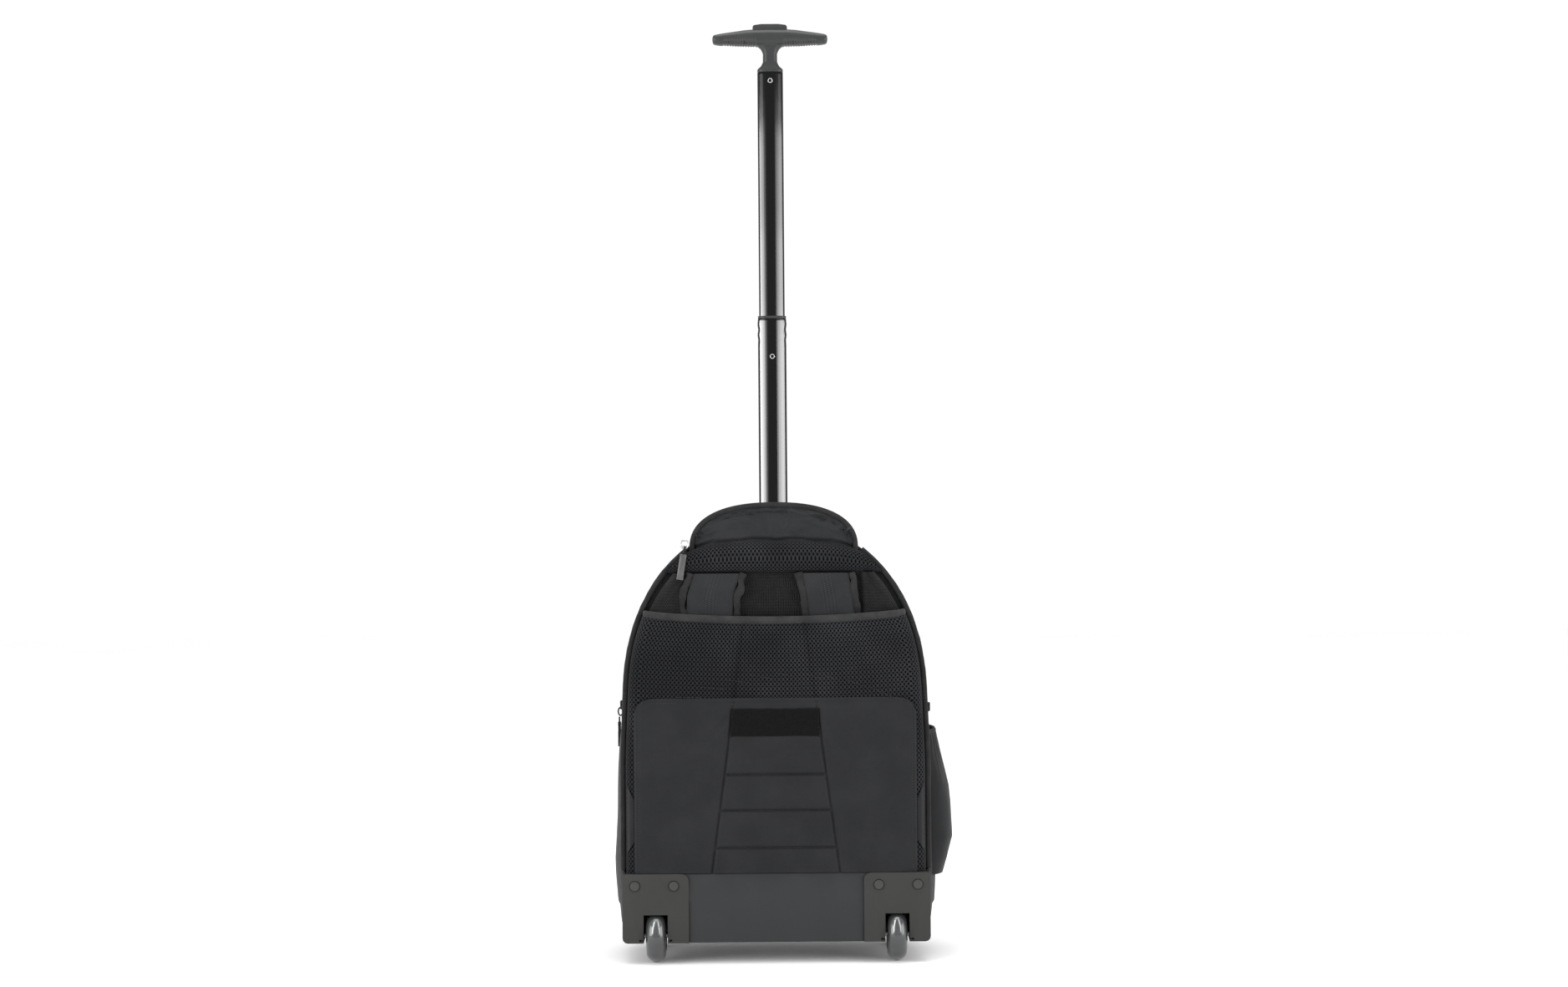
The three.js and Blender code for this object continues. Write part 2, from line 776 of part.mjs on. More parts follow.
piece(bodyGroup, "back_wall", backWall(), cloth);
piece(bodyGroup, "side_band", sideBand(), cloth);
piece(bodyGroup, "front_wall", frontWall(), cloth);
piece(bodyGroup, "front_piping", frontPiping(), webbing);
piece(bodyGroup, "front_pocket", frontPocket(), cloth);
piece(bodyGroup, "bottle_pocket", bottlePocket(), cloth);
for (const { label, sign } of sides) {
  piece(bodyGroup, "back_piping_" + label, mirrored(backPiping(), sign), webbing);
}

// Handle cover and well
const domeForm = {
  half: domeWidth / 2,
  base: domeFoot,
  top: domeTop,
  spring: domeShoulder,
  power: domePower,
  corner: leastCorner,
};

function handleCover() {
  const inset = 2 * domePipingRadius + clearance;
  const back = backWallFace + backWallThickness;
  const ring = (shrink, y) => upright(archOutline(domeForm, inset + shrink, domeFoot), y);
  return loft([ring(domeEdge, backWallFace), ring(0, backWallFace + domeEdge), ring(0, back)]);
}

function handleCoverPiping() {
  const outline = archOutline(domeForm, domePipingRadius, domeFoot);
  const lastCorner = outline.length - cornerSteps - 1;
  const path = outline.filter(([, z], i) => z > domeFoot && i > cornerSteps && i < lastCorner);
  const foot = domeForm.half - domePipingRadius;
  return pipe([[foot, domeFoot], ...path, [-foot, domeFoot]], pipingPlane, domePipingRadius);
}

function handleWell() {
  const inner = block(
    [wellWall - wellWidth / 2, bandFace - overcut, wellFloor],
    [wellWidth / 2 - wellWall, bandFace + wellDepth, domeTop + 2 * overcut],
  );
  const poleRing = (height) =>
    levelRing(poleHole.width, poleHole.depth, height, axis, tubePower, tubeSides);
  const hole = loft([poleRing(0), poleRing(domeTop)]);
  return handleSpace(0).intersect(bodySolid(pipingRadius)).subtract(inner).subtract(hole);
}

// Tube sizes: each tube clears the one inside it by its play.
const axis = [0, handleAxis];
const lowerOuter = {
  width: upperTubeWidth + 2 * (tubePlay + tubeWall),
  depth: upperTubeDepth + 2 * (tubeDepthPlay + tubeWall),
};
const fixedOuter = {
  width: lowerOuter.width + 2 * (fixedTubePlay + fixedTubeWall),
  depth: lowerOuter.depth + 2 * (fixedTubePlay + fixedTubeWall),
};
const poleHole = {
  width: fixedOuter.width + 2 * clearance,
  depth: fixedOuter.depth + 2 * clearance,
};
const fixedTop = wellFloor + fixedTubeProud;
const lowerTop = fixedTop + lowerTravel - clearance - tubeRingHeight;
const ringTop = lowerTop + clearance + tubeRingHeight;
const upperTop = ringTop + upperTravel + upperTubeProud;
const collarTop = wellFloor + clearance + collarHeight;
const gripBottom = upperTop + gripRise;
const tubeSides = 16;

function tube(outer, wall, bottom, top) {
  const ring = (inset, height) =>
    levelRing(outer.width - 2 * inset, outer.depth - 2 * inset, height, axis, tubePower, tubeSides);
  return loft([ring(0, bottom), ring(0, top), ring(wall, top), ring(wall, bottom)], true);
}

// The hole in a tube's front face for a rivet, and the rivet in it.
function rivetHole(outer, height) {
  const face = handleAxis - outer.depth / 2;
  return rod("y", rivetRadius + clearance, face - overcut, face + overcut, [0, 0, height], rivetSides);
}

function tubeRivet(outer, height) {
  const face = handleAxis - outer.depth / 2;
  return rod("y", rivetRadius, face - rivetProud, face + tubeWall, [0, 0, height], rivetSides);
}

// Grip
function barSection(row, side) {
  const top = gripBottom + gripHeight * row.top;
  const bottom = gripBottom + gripHeight * row.bottom;
  const depth = gripDepth * row.depth;
  const place = (across, along) =>
    new THREE.Vector3(
      side * ((row.reach * gripLength) / 2),
      handleAxis + (across * depth) / 2,
      (top + bottom) / 2 + (along * (top - bottom)) / 2,
    );
  return oval(gripSides, gripPower, place);
}

function bar() {
  const right = gripRows.map((row) => barSection(row, 1));
  const left = gripRows.slice(1).map((row) => barSection(row, -1));
  return loft([...left.reverse(), ...right]);
}

// Slots between the finger ridges, across the underside of the bar.
function ridgeSlots() {
  const half = gripDepth / 2 + overcut;
  const slots = [];
  for (const { sign } of sides) {
    for (let i = 0; i < ridgeCount; i++) {
      const reach = ridgeStart + ridgePitch * i;
      const rise = gripHeight * read(gripRows, "reach", "bottom", (2 * reach) / gripLength);
      slots.push(
        block(
          [sign * reach - ridgeSlot / 2, handleAxis - half, gripBottom - overcut],
          [sign * reach + ridgeSlot / 2, handleAxis + half, gripBottom + rise + ridgeSlotDepth],
        ),
      );
    }
  }
  return slots.reduce((all, slot) => all.add(slot));
}

function neck() {
  const plugWidth = upperTubeWidth - 2 * (tubeWall + clearance);
  const plugDepth = upperTubeDepth - 2 * (tubeWall + clearance);
  const ring = (width, depth, height) => levelRing(width, depth, height, axis, tubePower, tubeSides);
  const seat = upperTop + clearance;
  const collar = neckRows.map(({ rise, spread }) =>
    ring(
      THREE.MathUtils.lerp(neckWidth, upperTubeWidth, spread),
      THREE.MathUtils.lerp(neckDepth, upperTubeDepth, Math.min(spread, 1)),
      upperTop + gripRise * rise,
    ),
  );
  return loft([
    ring(plugWidth, plugDepth, upperTop - plugLength),
    ring(plugWidth, plugDepth, seat),
    ring(upperTubeWidth, upperTubeDepth, seat),
    ring(upperTubeWidth, upperTubeDepth, seat + shoulderThickness),
    ...collar,
  ]);
}

const buttonTop = gripBottom + gripHeight + buttonProud;
const buttonBottom = buttonTop - buttonHeight;

function grip() {
  const slotHalf = buttonWidth / 2 + clearance;
  const slotDepth = buttonDepth / 2 + clearance;
  const slotFloor = buttonBottom - buttonTravel - buttonFloorPlay;
  const slot = block(
    [-slotHalf, handleAxis - slotDepth, slotFloor],
    [slotHalf, handleAxis + slotDepth, buttonTop + overcut],
  );
  const rivet = rod(
    "y",
    rivetRadius + clearance,
    handleAxis - upperTubeDepth,
    handleAxis,
    [0, 0, upperTop - upperRivetDrop],
    rivetSides,
  );
  return bar().add(neck()).subtract(ridgeSlots()).subtract(slot).subtract(rivet);
}

// The button's top is a shallow arch.
function button() {
  const half = buttonWidth / 2;
  const crown = buttonRows.map(({ reach, drop }) => [half * reach, buttonTop - buttonHeight * drop]);
  const mirror = crown.map(([x, z]) => [-x, z]).reverse();
  const outline = [[-half, buttonBottom], [half, buttonBottom], ...crown, ...mirror];
  return plate(outline, handleAxis - buttonDepth / 2, handleAxis + buttonDepth / 2);
}

const upperOuter = { width: upperTubeWidth, depth: upperTubeDepth };
const upperRivetHeight = upperTop - upperRivetDrop;
const lowerRivetHeight = lowerTop - lowerRivetDrop;
const fixedBottom = bandBase + bandWall + clearance;
const collarOuter = { width: collarWidth, depth: collarDepth };

function collar() {
  const ring = (size, height) =>
    levelRing(size.width, size.depth, height, axis, tubePower, tubeSides);
  const bottom = wellFloor + clearance;
  const outside = [ring(collarOuter, bottom), ring(collarOuter, collarTop)];
  const inside = [ring(poleHole, collarTop), ring(poleHole, bottom)];
  return loft([...outside, ...inside], true);
}

piece(handleGroup, "handle_cover", handleCover(), cloth);
piece(handleGroup, "handle_cover_piping", handleCoverPiping(), webbing);
piece(handleGroup, "handle_well", handleWell(), cloth);
piece(handleGroup, "fixed_tube", tube(fixedOuter, fixedTubeWall, fixedBottom, fixedTop), steel);
piece(handleGroup, "tube_collar", collar(), gripPlastic);
piece(
  handleGroup,
  "lower_tube",
  tube(lowerOuter, tubeWall, lowerTop - lowerTubeLength, lowerTop).subtract(
    rivetHole(lowerOuter, lowerRivetHeight),
  ),
  gloss,
);
piece(
  handleGroup,
  "lower_tube_ring",
  tube(lowerOuter, tubeWall, lowerTop + clearance, ringTop),
  gripPlastic,
);
piece(handleGroup, "lower_rivet", tubeRivet(lowerOuter, lowerRivetHeight), chrome);
piece(
  handleGroup,
  "upper_tube",
  tube(upperOuter, tubeWall, upperTop - upperTubeLength, upperTop).subtract(
    rivetHole(upperOuter, upperRivetHeight),
  ),
  gloss,
);
piece(handleGroup, "upper_rivet", tubeRivet(upperOuter, upperRivetHeight), chrome);
piece(handleGroup, "grip", grip(), gripPlastic);
piece(handleGroup, "button", button(), gripPlastic);

// Back panel
function meshBand() {
  const half = bandHalf();
  const section = ({ reach, proud }, side) => {
    const top = bandTop - bandDroop * reach ** 2;
    return bandSection.map(
      (row) =>
        new THREE.Vector3(
          side * reach * half,
          backWallFace - clearance - bandProud * proud * row.depth,
          THREE.MathUtils.lerp(bandBottom, top, row.height),
        ),
    );
  };
  const right = bandLength.map((row) => section(row, 1));
  const left = bandLength.slice(1).map((row) => section(row, -1));
  return loft([...left.reverse(), ...right]).intersect(
    archPlate(bodyForm, bandInset, backWallFace - bandProud - overcut, backWallFace),
  );
}

// Half the width that the arch leaves at the mesh band's lower edge, and a little more.
function bandHalf() {
  const rise = (bandBottom - shoulderHeight) / (bagTop - bandInset - shoulderHeight);
  return (bagHalf - bandInset) * (1 - rise ** archPower) ** (1 / archPower) + overcut;
}

function ribbedPanel() {
  const inset = panelInset + sleeveWall + clearance;
  const strip = block(
    [-bagHalf, ribbedFace - overcut, ribbedBottom],
    [bagHalf, backWallFace, bandBottom - clearance],
  );
  return archPlate(bodyForm, inset, ribbedFace, ribbedFace + ribbedThickness).intersect(strip);
}

// Sleeve: a pouch open at its top and towards the back wall, with sides that turn back.
const sleeveBack = ribbedFace + ribbedThickness;
const sleeveDepth = sleeveBack - sleeveFace;

function sleeveSolid(expand) {
  const rings = sleeveRows.map((row) => {
    const inset = panelInset + sleeveRounding * row.inset - expand;
    const y = row.depth === 1 ? sleeveBack : sleeveFace + sleeveDepth * row.depth - expand;
    return upright(archOutline(bodyForm, inset, sleeveBase), y);
  });
  return loft(rings);
}

function sleeveHollow() {
  const rings = sleeveRows.map((row) => {
    const inset = panelInset + sleeveWall + (sleeveRounding - sleeveWall) * row.inset;
    const inside = sleeveFace + sleeveWall + (sleeveDepth - sleeveWall) * row.depth;
    const y = row.depth === 1 ? sleeveBack + overcut : inside;
    return upright(archOutline(bodyForm, inset, sleeveBase + sleeveWall), y);
  });
  return loft(rings);
}

// Everything above the sleeve's sagging mouth, lowered by a drop.
function aboveMouth(drop) {
  const outline = [];
  for (let i = 0; i <= mouthSteps; i++) {
    const share = (2 * i) / mouthSteps - 1;
    outline.push([share * bagHalf, sleeveTop - drop - sleeveSag * (1 - share ** 2)]);
  }
  outline.push([bagHalf, bagTop + overcut], [-bagHalf, bagTop + overcut]);
  return plate(outline, sleeveFace - 2 * overcut, sleeveBack + 2 * overcut);
}

function sleevePanel() {
  return sleeveSolid(0)
    .subtract(sleeveHollow())
    .subtract(aboveMouth(sleeveBindingHeight + clearance))
    .subtract(longSeams(seamTop, sleeveBase, sleeveFace));
}

function sleeveBinding() {
  return sleeveSolid(sleeveBindingProud)
    .subtract(sleeveHollow())
    .subtract(aboveMouth(0))
    .intersect(aboveMouth(sleeveBindingHeight));
}

function flapOutline(inset) {
  const half = flapWidth / 2 - inset;
  const top = flapTop - inset;
  const corner = flapCorner - inset;
  const points = [[half, sleeveBase]];
  for (let i = 0; i <= flapCornerSteps; i++) {
    const angle = (Math.PI / 2) * (i / flapCornerSteps);
    points.push([half - corner + corner * Math.cos(angle), top - corner + corner * Math.sin(angle)]);
  }
  return [...points, ...points.map(([x, z]) => [-x, z]).reverse()];
}

function lumbarFlap() {
  const padded = loft([
    upright(flapOutline(flapEdge), flapFace),
    upright(flapOutline(0), flapFace + flapEdge),
    upright(flapOutline(0), flapFace + flapThickness),
  ]);
  const cross = channelShares.map((share) => {
    const height = THREE.MathUtils.lerp(sleeveBase, flapTop, share);
    const reach = seamSpread(height);
    return seamCut([-reach, height], [reach, height], flapFace);
  });
  const cuts = cross.reduce((all, cut) => all.add(cut), longSeams(flapTop, sleeveBase, flapFace));
  return padded.subtract(cuts);
}

function hookStrip() {
  const back = flapFace - clearance;
  return block(
    [-hookStripWidth / 2, back - hookStripThickness, hookStripBottom],
    [hookStripWidth / 2, back, hookStripBottom + hookStripHeight],
  );
}

function anchorTab() {
  const inner = flapWidth / 2 + clearance;
  const outer = bagHalf;
  const outline = [
    [inner, tabInnerBottom],
    [outer, tabOuterBottom],
    [outer, tabOuterTop],
    [inner, tabInnerTop],
  ];
  return sleeveSolid(clearance + tabThickness)
    .subtract(sleeveSolid(clearance))
    .intersect(plate(outline, flapFace - overcut, sleeveBack - clearance));
}

// Straps: each section lies level, and the bindings run along both edges.
function strapSweep(width, thickness, shift) {
  return loft(
    strapRows.map((row) => {
      const middle = [
        bagHalf * row.place + shift,
        strapFace + strapThickness / 2 - strapBulge * row.bulge,
      ];
      return levelRing(width, thickness, bandBottom * row.height, middle, strapPower, strapSides);
    }),
  );
}

const strapCore = strapWidth - 2 * (strapBindingWidth + clearance);
const strapEdge = (strapCore + strapBindingWidth) / 2 + clearance;

piece(harnessGroup, "mesh_band", meshBand(), airMesh);
piece(harnessGroup, "ribbed_panel", ribbedPanel(), webbing);
piece(harnessGroup, "sleeve_panel", sleevePanel(), airMesh);
piece(harnessGroup, "sleeve_binding", sleeveBinding(), webbing);
piece(harnessGroup, "lumbar_flap", lumbarFlap(), cloth);
piece(harnessGroup, "hook_strip", hookStrip(), hook);
for (const { label, sign } of sides) {
  const core = strapSweep(strapCore, strapThickness, 0);
  const inner = strapSweep(strapBindingWidth, strapBindingThickness, -strapEdge);
  const outer = strapSweep(strapBindingWidth, strapBindingThickness, strapEdge);
  piece(harnessGroup, "strap_" + label, mirrored(core, sign), cloth);
  piece(harnessGroup, "strap_binding_inner_" + label, mirrored(inner, sign), webbing);
  piece(harnessGroup, "strap_binding_outer_" + label, mirrored(outer, sign), webbing);
  piece(harnessGroup, "anchor_tab_" + label, mirrored(anchorTab(), sign), cloth);
}

// Guard and wheel housings
function guard() {
  const half = housingOuter - housingSkirt - clearance;
  const back = sleeveBack;
  const front = block([-half, 0, guardBottom], [half, guardThickness, guardTop]);
  const upper = block([-half, 0, guardTop - guardThickness], [half, back, guardTop]);
  const under = block([-half, 0, guardBottom], [half, guardUnderDepth, guardBottom + guardThickness]);
  return front.add(upper).add(under).subtract(bothWheelSpaces(clearance));
}

function housingOutline() {
  const points = [[housingInner, guardBottom]];
  for (let i = 0; i <= cornerSteps; i++) {
    const angle = (Math.PI / 2) * (i / cornerSteps - 1);
    points.push([
      housingOuter - housingFoot + housingFoot * Math.cos(angle),
      guardBottom + housingFoot + housingFoot * Math.sin(angle),
    ]);
  }
  points.push([housingOuter, guardTop]);
  for (let i = 0; i <= cornerSteps; i++) {
    const angle = (Math.PI / 2) * (1 + i / cornerSteps);
    points.push([
      housingInner + housingCorner + housingCorner * Math.cos(angle),
      guardTop - housingCorner + housingCorner * Math.sin(angle),
    ]);
  }
  return points;
}

function housing() {
  const middle = wheelTrack / 2;
  const back = -clearance;
  const front = back - guardThickness;
  const openHalf = wellHalf - wellPlate;
  const cutoutTop = guardBottom + cutoutHeight;
  const shell = plate(housingOutline(), front, skirtDepth + front);
  const skirtInside = block(
    [housingInner - overcut, back, guardBottom - overcut],
    [housingOuter - housingSkirt, skirtDepth + overcut, guardTop + overcut],
  );
  const well = block(
    [middle - wellHalf, back - guardThickness / 2, guardBottom],
    [middle + wellHalf, wellBack, wellRoof],
  );
  const wellInside = block(
    [middle - openHalf, back, -overcut],
    [middle + openHalf, wellBack - wellPlate, wellRoof - wellPlate],
  );
  const cutout = block(
    [middle - openHalf, front - overcut, -overcut],
    [middle + openHalf, back + overcut, cutoutTop],
  );
  const notch = block(
    [middle - openHalf - notchWidth, front - overcut, guardBottom + notchLift],
    [middle + openHalf + notchWidth, back, guardBottom + notchLift + notchHeight],
  );
  const bore = rod(
    "x",
    axleRadius + clearance,
    middle - wellHalf - overcut,
    middle + wellHalf + overcut,
    [0, wheelSetback, wheelRadius],
    rivetSides,
  );
  return shell
    .subtract(skirtInside)
    .add(well)
    .subtract(wellInside)
    .subtract(cutout)
    .subtract(notch)
    .subtract(bore);
}

// A flat dome on the housing's face.
function guardRivet(place) {
  const profile = headRows.map(
    (row) => new THREE.Vector2(rivetHeadRadius * row.reach, rivetHeadHeight * row.height),
  );
  const head = new THREE.LatheGeometry(profile, rivetSides);
  head.rotateX(Math.PI).translate(place, -2 * clearance - guardThickness, rivetHeight);
  return solidOf(head);
}

function foot() {
  const middle = [footSpacing / 2, bandFace + footSetback + footDepth / 2];
  const ring = (taper, height) =>
    levelRing(footWidth - 2 * taper, footDepth - 2 * taper, height, middle, footPower, footSides);
  return loft([ring(footTaper, 0), ring(0, 2 * footTaper), ring(0, bandBase - clearance)]);
}

function axle() {
  const middle = wheelTrack / 2;
  const place = [0, wheelSetback, wheelRadius];
  return rod("x", axleRadius, middle - wellHalf, middle + wellHalf, place, rivetSides);
}

piece(baseGroup, "guard", guard(), guardPlastic);
for (const { label, sign } of sides) {
  const outerRivet = housingOuter - rivetInset;
  piece(baseGroup, "housing_" + label, mirrored(housing(), sign), housingPlastic);
  piece(baseGroup, "guard_rivet_outer_" + label, mirrored(guardRivet(outerRivet), sign), housingPlastic);
  piece(
    baseGroup,
    "guard_rivet_inner_" + label,
    mirrored(guardRivet(outerRivet - rivetSpacing), sign),
    housingPlastic,
  );
  piece(baseGroup, "axle_" + label, mirrored(axle(), sign), steel);
  piece(baseGroup, "foot_" + label, mirrored(foot(), sign), housingPlastic);
}

// Wheels: turned bodies round X, with a flat of their facets on the ground.
const facetSpread = 1 / Math.cos(Math.PI / wheelSides);

function turned(profile) {
  const wheel = new THREE.LatheGeometry(
    profile.map(([across, radius]) => new THREE.Vector2(radius * facetSpread, across)),
    wheelSides,
  );
  wheel.rotateY(Math.PI / wheelSides).rotateZ(-Math.PI / 2);
  wheel.translate(wheelTrack / 2, wheelSetback, wheelRadius);
  return solidOf(wheel);
}

function tyre() {
  const inner = hubRadius + clearance;
  const flank = tyreRows.map(({ side, height }) => [
    side * wheelWidth,
    THREE.MathUtils.lerp(inner, wheelRadius, height),
  ]);
  const other = flank.slice(0, -1).map(([across, radius]) => [-across, radius]);
  return turned([...flank, ...other.reverse(), flank[0]]);
}

function hub() {
  const half = wheelWidth / 2 - clearance;
  const bore = axleRadius + clearance;
  return turned([
    [half, bore],
    [half, hubRadius],
    [-half, hubRadius],
    [-half, bore],
    [half, bore],
  ]);
}

for (const { label, sign } of sides) {
  piece(baseGroup, "tyre_" + label, mirrored(tyre(), sign), rubber);
  piece(baseGroup, "hub_" + label, mirrored(hub(), sign), gripPlastic);
}

// Zips
// A zip's tape: for each place along it, a section that runs over the skin at a lift above it and back a
// little below it. What lies below the skin is cut away afterwards.
function tapeSection(stations, place) {
  const lifted = stations.map((station) => place(station, clearance + zipThickness));
  const sunk = [...stations].reverse().map((station) => place(station, -clearance));
  return [...lifted, ...sunk];
}

// The main zip crosses the crease in the middle of the side band, so its sections bend there too.
function mainZip() {
  const stations = [zipMiddle - zipWidth / 2, zipMiddle, zipMiddle + zipWidth / 2];
  const side = (sign, height) =>
    tapeSection(stations, (y, lift) =>
      new THREE.Vector3(sign * (sideReach(y, height) + lift), y, height),
    );
  const outline = bodyOutline(zipMiddle, pipingRadius);
  const crown = outline.flatMap(([, z], j) => (z > shoulderHeight ? [j] : []));
  const over = crown.map((j) =>
    tapeSection(stations, (y, lift) => {
      const [x, z] = bodyOutline(y, pipingRadius - lift)[j];
      return new THREE.Vector3(x, y, z);
    }),
  );
  return loft([side(1, zipRightEnd), ...over, side(-1, zipLeftEnd)]).subtract(
    bodySolid(pipingRadius - clearance),
  );
}

// A zip slider at the lower end of a tape on the right side, with the wire ring that its pull hangs from.
function sideSlider(face, y, bottom) {
  const body = block(
    [face, y - sliderWidth / 2, bottom],
    [face + sliderThickness, y + sliderWidth / 2, bottom + sliderLength],
  );
  const middle = [face + ringReach / 2, bottom - ringHeight / 2 + 2 * wireRadius];
  const ring = oval(ringSides, 2, (out, up) => [
    middle[0] + (out * ringReach) / 2,
    middle[1] + (up * ringHeight) / 2,
  ]);
  return body.add(pipe(ring, y, wireRadius, true));
}

// The pull below such a ring: a narrow neck and a moulded tab, whose foot leans on the swollen side.
function sidePull(y, bottom) {
  const top = bottom - ringHeight + wireRadius - clearance;
  const foot = top - neckDrop - pullLength;
  const face = sideReach(y, foot) + clearance;
  const tab = (thickness, width, high, low) =>
    block([face, y - width / 2, low], [face + thickness, y + width / 2, high]);
  return tab(pullThickness, 0.5 * pullWidth, top, top - neckDrop - overlap).add(
    tab(sidePullThickness, pullWidth, top - neckDrop, foot),
  );
}

// Where the face of a tape on the side stands, at the lower end of a slider.
function tapeFace(height) {
  return sideReach(zipMiddle, height) + 2 * clearance + zipThickness;
}

// The slider beside the dome's foot straddles the edge piping, with its ring in front.
const topSliderHeight = archHeight(bodyForm, 0, topSliderPlace);
const ringPlane = pipingPlane - pipingRadius - 2 * wireRadius;

function topSlider() {
  const saddle = block(
    [-sliderLength / 2, ringPlane, 0],
    [sliderLength / 2, pipingPlane + pipingRadius, sliderThickness],
  );
  const slope = Math.atan2(
    topSliderHeight - archHeight(bodyForm, 0, topSliderPlace + 1),
    1,
  );
  const lift = topSliderHeight + clearance / Math.cos(slope);
  const tilted = saddle
    .rotate([0, THREE.MathUtils.radToDeg(slope), 0])
    .translate([topSliderPlace, 0, lift]);
  const middle = [topSliderPlace, topSliderHeight + ringHeight / 2 + wireRadius];
  const ring = oval(ringSides, 2, (out, up) => [
    middle[0] + (out * ringHeight) / 2,
    middle[1] + (up * ringHeight) / 2,
  ]);
  return tilted.add(pipe(ring, ringPlane, wireRadius, true));
}

function topPull() {
  const top = topSliderHeight - clearance;
  const front = backWallFace - bandProud - clearance - pullThickness;
  const tab = block(
    [-pullWidth / 2, front, -pullLength - neckDrop],
    [pullWidth / 2, front + pullThickness, 0],
  );
  const arm = block(
    [-pullWidth / 4, front, -pullThickness],
    [pullWidth / 4, ringPlane - clearance, 0],
  );
  return tab.add(arm).rotate([0, pullTilt, 0]).translate([topSliderPlace, 0, top]);
}

// The front pocket's zip runs round the pocket's arch beside the front wall.
function pocketZip() {
  const stations = [pocketZipStart, pocketZipStart + pocketZipWidth / pocketDepth];
  const outline = archOutline(pocketForm, 0);
  const arch = outline.flatMap(([, z], j) => (z > pocketShoulder - pocketZipReach ? [j] : []));
  const rings = arch.map((j) =>
    tapeSection(stations, (share, lift) => {
      const [x, z] = archOutline(pocketForm, -lift)[j];
      return new THREE.Vector3(x, pocketFace + pocketDepth * share * pocketDepthAt(z), z);
    }),
  );
  return loft(rings).subtract(pocketSolid(-clearance, pocketFace - overcut));
}

const leftFace = tapeFace(zipLeftEnd);
const rightFace = tapeFace(zipRightEnd);
const leftSlider = sideSlider(leftFace, zipMiddle, zipLeftEnd);
piece(zipGroup, "main_zip", mainZip(), webbing);
piece(zipGroup, "main_zip_slider_left", mirrored(leftSlider, -1), steel);
piece(zipGroup, "main_zip_pull_left", mirrored(sidePull(zipMiddle, zipLeftEnd), -1), hook);
piece(zipGroup, "main_zip_slider_right", sideSlider(rightFace, zipMiddle, zipRightEnd), steel);
piece(zipGroup, "top_zip_slider", mirrored(topSlider(), -1), chrome);
piece(zipGroup, "top_zip_pull", mirrored(topPull(), -1), steel);
piece(zipGroup, "front_pocket_zip", pocketZip(), webbing);

const root = new THREE.Group();
root.add(bag);

// The bag stands with the middle of its box over the origin.
const extent = new THREE.Box3().setFromObject(bag);
bag.position.set(-(extent.min.x + extent.max.x) / 2, -(extent.min.y + extent.max.y) / 2, -extent.min.z);

export default root;
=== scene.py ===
"""Looks of a laptop backpack on wheels, standing with its telescopic handle drawn out.

Sizes in the classes are millimetres, counted from the middle of the bag, the outer face of its guard and the
ground, as the maker's drawing counts them. Bench turns them into metres in the frame.
"""

import logging
import math
from dataclasses import dataclass
from enum import Enum
from functools import lru_cache
from typing import Callable, Sequence

import bmesh
import bpy
from mathutils import Matrix, Vector, noise


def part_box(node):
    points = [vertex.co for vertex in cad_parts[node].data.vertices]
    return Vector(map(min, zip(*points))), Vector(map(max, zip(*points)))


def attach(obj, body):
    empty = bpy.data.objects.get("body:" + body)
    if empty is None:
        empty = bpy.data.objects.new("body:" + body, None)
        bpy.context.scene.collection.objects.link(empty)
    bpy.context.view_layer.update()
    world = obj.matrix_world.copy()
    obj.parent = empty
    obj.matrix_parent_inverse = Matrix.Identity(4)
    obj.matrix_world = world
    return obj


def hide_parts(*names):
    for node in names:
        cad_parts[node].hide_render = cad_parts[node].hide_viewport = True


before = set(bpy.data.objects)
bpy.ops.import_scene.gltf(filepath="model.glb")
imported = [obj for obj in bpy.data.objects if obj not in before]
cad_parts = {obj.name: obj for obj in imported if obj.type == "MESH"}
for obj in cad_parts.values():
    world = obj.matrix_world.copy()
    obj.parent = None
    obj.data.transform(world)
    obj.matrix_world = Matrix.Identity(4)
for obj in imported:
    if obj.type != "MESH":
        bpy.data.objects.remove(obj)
log = logging.getLogger("backpack")

MM = 0.001
Piece = bpy.types.Object
Pair = tuple[float, float]
Rule = Callable[[float, float], Vector]


@dataclass(frozen=True)
class Bench:
    """Where the bag's own measures start, in metres."""

    middle: float
    face: float

    def at(self, x: float, y: float, z: float) -> Vector:
        """Returns a place of the drawing, given in millimetres, in metres in the frame."""
        return Vector((self.middle + x * MM, self.face + y * MM, z * MM))

    def back(self, place: Vector) -> Vector:
        """Returns a place of the frame, given in metres, in the drawing's millimetres."""
        return Vector(((place.x - self.middle) / MM, (place.y - self.face) / MM, place.z / MM))


def find_bench() -> Bench:
    """Reads from the guard's box where the drawing's middle and face lie."""
    low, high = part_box("guard")
    return Bench(middle=(low[0] + high[0]) / 2, face=low[1])


BENCH = find_bench()


def blend(low: float, high: float, share: float) -> float:
    """Returns the value at a share of the way between two others."""
    return low + (high - low) * share


def ease(value: float, low: float, high: float) -> float:
    """Returns 0 below one value, 1 above another, and a smooth rise between them."""
    share = min(max((value - low) / (high - low), 0.0), 1.0)
    return share * share * (3 - 2 * share)


def dent(distance: float, width: float) -> float:
    """Returns 1 on a seam and a smooth fall to 0 away from it."""
    return math.exp(-((distance / width) ** 2))


def ripple(x: float, y: float, z: float, length: float, seed: float = 0.0) -> float:
    """Returns smooth noise of one wavelength, between about -1 and 1, at a place in millimetres."""
    return noise.noise(Vector((x / length + seed, y / length, z / length)))


def read(rows: Sequence[Pair], value: float) -> float:
    """Reads a two-column table with straight lines between its rows."""
    if value <= rows[0][0]:
        return rows[0][1]
    for (here, low), (there, high) in zip(rows, rows[1:]):
        if value <= there:
            return blend(low, high, (value - here) / (there - here))
    return rows[-1][1]


